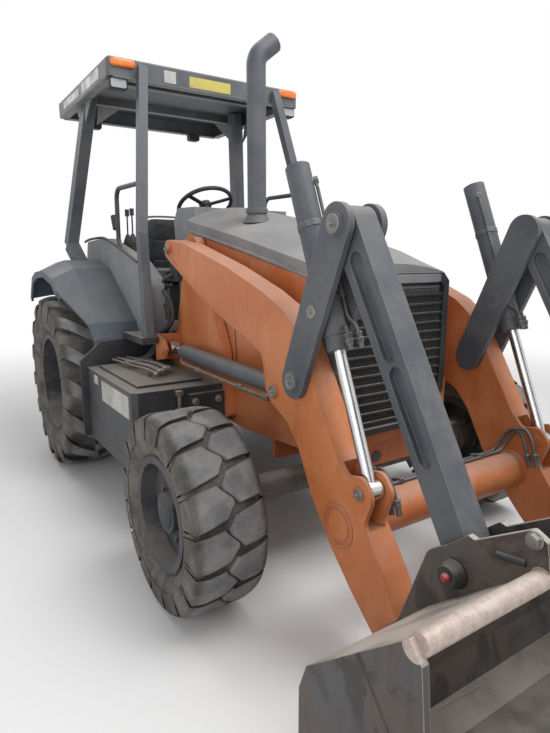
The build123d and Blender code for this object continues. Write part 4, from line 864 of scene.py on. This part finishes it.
def lozenge(centre, half_width, half_height, depth):
    """A stack of one grid: a domed lens facing forward, round at both ends. Its rim shrinks as cos(t) and
    its height grows as sin(t)^0.6 on the way to the crown."""
    angle = circle(48)
    straight = half_width - half_height
    rows = [(1.0, -0.002), (1.0, 0.004)]
    rows += [(cos(t) ** 0.7, 0.004 + (depth - 0.004) * sin(t) ** 0.6) for t in np.linspace(0.15, 1.5, 8)]
    grid = []
    for share, rise in rows:
        y = np.sign(np.cos(angle)) * straight * share ** 0.3 + half_height * share * np.cos(angle)
        grid.append(np.stack([rise + 0 * angle, y, half_height * share * np.sin(angle)], -1))
    return np.stack(grid)[None] + centre


lenses = [lozenge((-0.875, side * 0.596, 2.608), 0.078, 0.0235, 0.02) for side in (-1, 1)]
beacons = piece("beacon_lenses", "chassis", amber, *lenses)
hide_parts("amber_lamps")
lamp_glass = plate_finish("lamp_glass", (0.42, 0.44, 0.46), (0.2, 0.2, 0.2), coat=0.8)
work_lamps = (
    # X, Y, Z, half width, half height, way that the glass faces
    (-0.92, 0.62, 2.4955, 0.058, 0.033, 1),
    (-2.1, 0.43, 2.5005, 0.048, 0.028, -1),
)
shells, glasses = [], []
for x, off, z, half_y, half_z, way in work_lamps:
    for y in (off, -off):
        shells += [
            slab((x - way * 0.03, y, z), (0, way * half_y, 0), (0, 0, half_z), 0.062, 0.016, 0.008),
            slab((x, y, z + half_z - 0.002), (0.012, 0, 0), (0, 0.018, 0), 0.006, 0.003),
        ]
        half_sizes = (0, way * (half_y - 0.01), 0), (0, 0, half_z - 0.008)
        glasses.append(slab((x + way * 0.0305, y, z), *half_sizes, 0.0035, 0.012))
lamps = piece("work_lamp_shells", "chassis", soft_black, *shells)
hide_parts("work_lamps")
piece("work_lamp_glass", "chassis", lamp_glass, *glasses)

# Roof
# Folded lips along the roof's lower edge, two box ribs under its sheet and gussets at each
# rear post: sheet steel in a paler grey coat than the posts.
pale_steel = weathered(
    "pale_steel", (0.14, 0.15, 0.15), (0.21, 0.215, 0.205), (0.12, 0.1, 0.08),
    wear=0.3, dust=0.3, grime=0.35, gloss=0.5,
)
sheet = 0.004
lips = [slab((x, 0, 2.5285), (0, 0.655, 0), (0.03, 0, 0), sheet, 0.004) for x in (-0.903, -2.117)]
lips += [slab((-1.51, side * 0.658, 2.5285), (0, 0.03, 0), (0.6, 0, 0), sheet, 0.004) for side in (-1, 1)]
lips += [slab((x, 0, 2.5795), (0, 0.655, 0), (0.026, 0, 0), sheet, 0.004) for x in (-1.77, -1.2)]
piece("roof_lips", "chassis", pale_steel, *lips)


def gusset(corners, thickness):
    """A flat plate through three or more corners, as a stack of one grid with a front and a back row."""
    normal = unit(np.cross(corners[1] - corners[0], corners[2] - corners[0])) * thickness / 2
    return np.stack([corners - normal, corners + normal])[None]


gusset_corners = (
    ((-1.545, 0.64, 2.53), (-1.4, 0.64, 2.53), (-1.585, 0.64, 2.4)),
    ((-1.665, 0.64, 2.53), (-1.8, 0.64, 2.53), (-1.7, 0.64, 2.42)),
    ((-1.6, 0.545, 2.53), (-1.6, 0.38, 2.53), (-1.62, 0.552, 2.4)),
)
plates = [gusset(on_side(side, *corners), 0.008) for side in (-1, 1) for corners in gusset_corners]
piece("roof_gussets", "chassis", pale_steel, *plates)

# Loader arms
# A raised lip runs along each arm's lower edge where the side sheet laps the bottom plate, and
# the torque tube ends in a double ring.
low_line = [
    # X, Z
    (-0.35, 1.492), (0.012, 1.308), (0.244, 1.214), (0.495, 1.131), (0.628, 1.082), (0.675, 1.052), (0.69, 0.95),
    (0.705, 0.905),
]
arm_y = 0.5745
arm_trim = []
for side in (-1, 1):
    arm_trim.append(tube([(x, side * arm_y, z) for x, z in low_line], 0.004, 8, 10))
    for radius, width in ((0.08, 0.003), (0.06, 0.0025)):
        inside, outside = radius - width, radius + width
        ring = [(0.0, inside), (0.005, inside), (0.0065, radius), (0.005, outside), (0.0, outside)]
        ring = turned(ring, (torque_x, arm_y - 0.0003, torque_z), side, 64)
        arm_trim.append(quilt(ring, looped=True))
piece("arm_trim", "arms", orange_paint, *arm_trim)

# Bucket trim
# A ribbed rubber seal with a red cap on each link's lower pin, a lifting slot and two bolts in each
# ear, and the dark joint of the wear plate on each side of the shell.
face_y, slot_x, slot_z = 0.6005, 1.898, 0.7195
link_pin = (1.733, face_y, 0.593)
seals, caps, ear_bolts = [], [], []
for side in (-1, 1):
    for step in range(4):
        rib = np.array([(0.0, 0.04), (0.006, 0.043), (0.011, 0.04)]) + (0.009 * step, -0.003 * step)
        seals.append(turned(rib, link_pin, side, 48))
    caps.append(turned([(0.034, 0.014), (0.046, 0.013), (0.052, 0.009), (0.054, 0.002)], link_pin, side, 32))
    bolted = on_side(side, (1.955, face_y, 0.796), (1.6, face_y, 0.3))
    ear_bolts.append(heads(bolted, (0, side, 0), 0.034, 0.016))
    slot = [(slot_x + share * 0.04, side * face_y, slot_z + share * 0.006) for share in (-1, 0, 1)]
    seals.append(tube(slot, 0.01, 16, 4))
    joint = on_side(side, (1.818, 1.0395, 0.588), (2.02, 1.0395, 0.352), (2.27, 1.0395, 0.06))
    seals.append(tube(joint, 0.0032, 8))
piece("bucket_seals", "bucket", soft_black, *seals)
red_cap = weathered(
    "red_cap", (0.35, 0.02, 0.02), (0.42, 0.06, 0.05), (0.2, 0.02, 0.02),
    wear=0.2, dust=0.4, grime=0.3, gloss=0.4,
)
piece("seal_caps", "bucket", red_cap, *caps)
piece("ear_bolts", "bucket", bolt_steel, *ear_bolts)

# Seat
# Foam in dark textured vinyl, piped at its edges: a cushion and a back with raised sides. Each is blown up
# as cloth from a closed shell a little smaller than its place.
vinyl = weathered(
    "seat_vinyl", (0.022, 0.024, 0.028), (0.05, 0.052, 0.055), (0.09, 0.085, 0.08),
    wear=0.25, dust=0.45, grime=0.25, gloss=0.48, patch=9.0, relief=0.0008,
)


def corners_of(mesh):
    """The vertices of a mesh, a row each."""
    flat = np.empty(len(mesh.vertices) * 3)
    mesh.vertices.foreach_get("co", flat)
    return flat.reshape(-1, 3)


def plump(name, half, centre, lean):
    """A pad blown up from a rounded box, then leaned back about Y. The box is a superellipsoid of exponent
    0.3; remeshed at 6 mm, it swells as cloth under pressure 4 without gravity for 20 frames, and no point
    moves further than 8 mm. Channels are pressed in as 6 or 5 mm exp(-(d / 7 mm)^2) at distance d."""
    turn = circle(48)
    lift = np.linspace(-np.pi / 2 + 0.02, np.pi / 2 - 0.02, 24)
    bent = lambda value: np.sign(value) * np.abs(value) ** 0.3
    x = half[0] * np.outer(bent(np.cos(lift)), bent(np.cos(turn)))
    y = half[1] * np.outer(bent(np.cos(lift)), bent(np.sin(turn)))
    z = half[2] * np.outer(bent(np.sin(lift)), np.ones(48))
    points, faces = quilt(np.stack([x, y, z], -1)[None])
    mesh = bpy.data.meshes.new(name)
    mesh.from_pydata(points.tolist(), [], faces)
    pad = placed(name, mesh)
    remesh = pad.modifiers.new("even", "REMESH")
    remesh.mode, remesh.voxel_size = "VOXEL", 0.006
    view = bpy.context.evaluated_depsgraph_get()
    even = bpy.data.meshes.new_from_object(pad.evaluated_get(view))
    pad.modifiers.clear()
    pad.data = even
    before = after = corners_of(even)
    cloth = pad.modifiers.new("blow", "CLOTH")
    cloth.settings.use_pressure = True
    cloth.settings.uniform_pressure_force = 4.0
    cloth.settings.effector_weights.gravity = 0.0
    cloth.point_cache.frame_start, cloth.point_cache.frame_end = 1, 20
    for frame_number in range(1, 21):
        scene.frame_set(frame_number)
    blown = pad.evaluated_get(bpy.context.evaluated_depsgraph_get()).to_mesh()
    after = corners_of(blown)
    pad.modifiers.clear()
    scene.frame_set(1)
    swell, bolster, channel = 0.008, 0.62, 0.007
    moved = after - before
    length = np.maximum(np.linalg.norm(moved, axis=1, keepdims=True), 1e-9)
    shape = before + moved * np.minimum(1.0, swell / length)
    normal_z = np.sign(shape[:, 2])
    for at in (-bolster, bolster):
        shape[:, 2] -= normal_z * 0.006 * np.exp(-((shape[:, 1] - at * half[1]) / channel) ** 2)
    for at in (-0.35, 0.3):
        across = np.exp(-((shape[:, 0] - at * half[0]) / channel) ** 2) * (np.abs(shape[:, 1]) < bolster * half[1])
        shape[:, 2] -= normal_z * 0.005 * across
    shape[:, 2] += 0.008 * np.clip((np.abs(shape[:, 1]) / half[1] - 0.6) / 0.3, 0.0, 1.0) * (normal_z > 0)
    x, y, z = shape.T
    leaned = np.stack([cos(lean) * x + sin(lean) * z, y, cos(lean) * z - sin(lean) * x], -1)
    even.vertices.foreach_set("co", (leaned + centre).ravel())
    even.update()
    even.shade_smooth()
    even.materials.clear()
    even.materials.append(vinyl)
    finer = pad.modifiers.new("finer", "SUBSURF")
    finer.levels = finer.render_levels = 1
    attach(pad, "chassis")
    return pad


cushion = plump("seat_cushion_pad", (0.205, 0.215, 0.045), (-1.412, 0.0, 1.33), 0.0)
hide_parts("seat_cushion")
back = plump("seat_back_pad", (0.24, 0.208, 0.032), (-1.712, 0.0, 1.535), radians(-80.4))
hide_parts("seat_back")
# The cushion's edge in shares of its half sizes: the front half, then the same turned about the middle.
edge = [(0, -1), (0.85, -1), (1, -0.85), (1, 0), (1, 0.85), (0.85, 1), (0, 1)]
edge += [(-x, -y) for x, y in edge[1:]]
cushion_loop = [(-1.412 + 0.208 * x, 0.218 * y, 1.3) for x, y in edge]
rim_right = [
    (-1.683, -0.2, 1.438), (-1.7, -0.207, 1.538), (-1.728, -0.208, 1.708), (-1.74, -0.19, 1.773),
    (-1.743, -0.12, 1.787), (-1.743, 0, 1.789),
]
back_rim = rim_right + [(x, -y, z) for x, y, z in rim_right[-2::-1]]
pipings = [tube(cushion_loop, 0.005, 8, 6), tube(back_rim, 0.008, 10, 6)]
piece("seat_piping", "chassis", grey_beige_cover_with_painted_shade, *pipings)
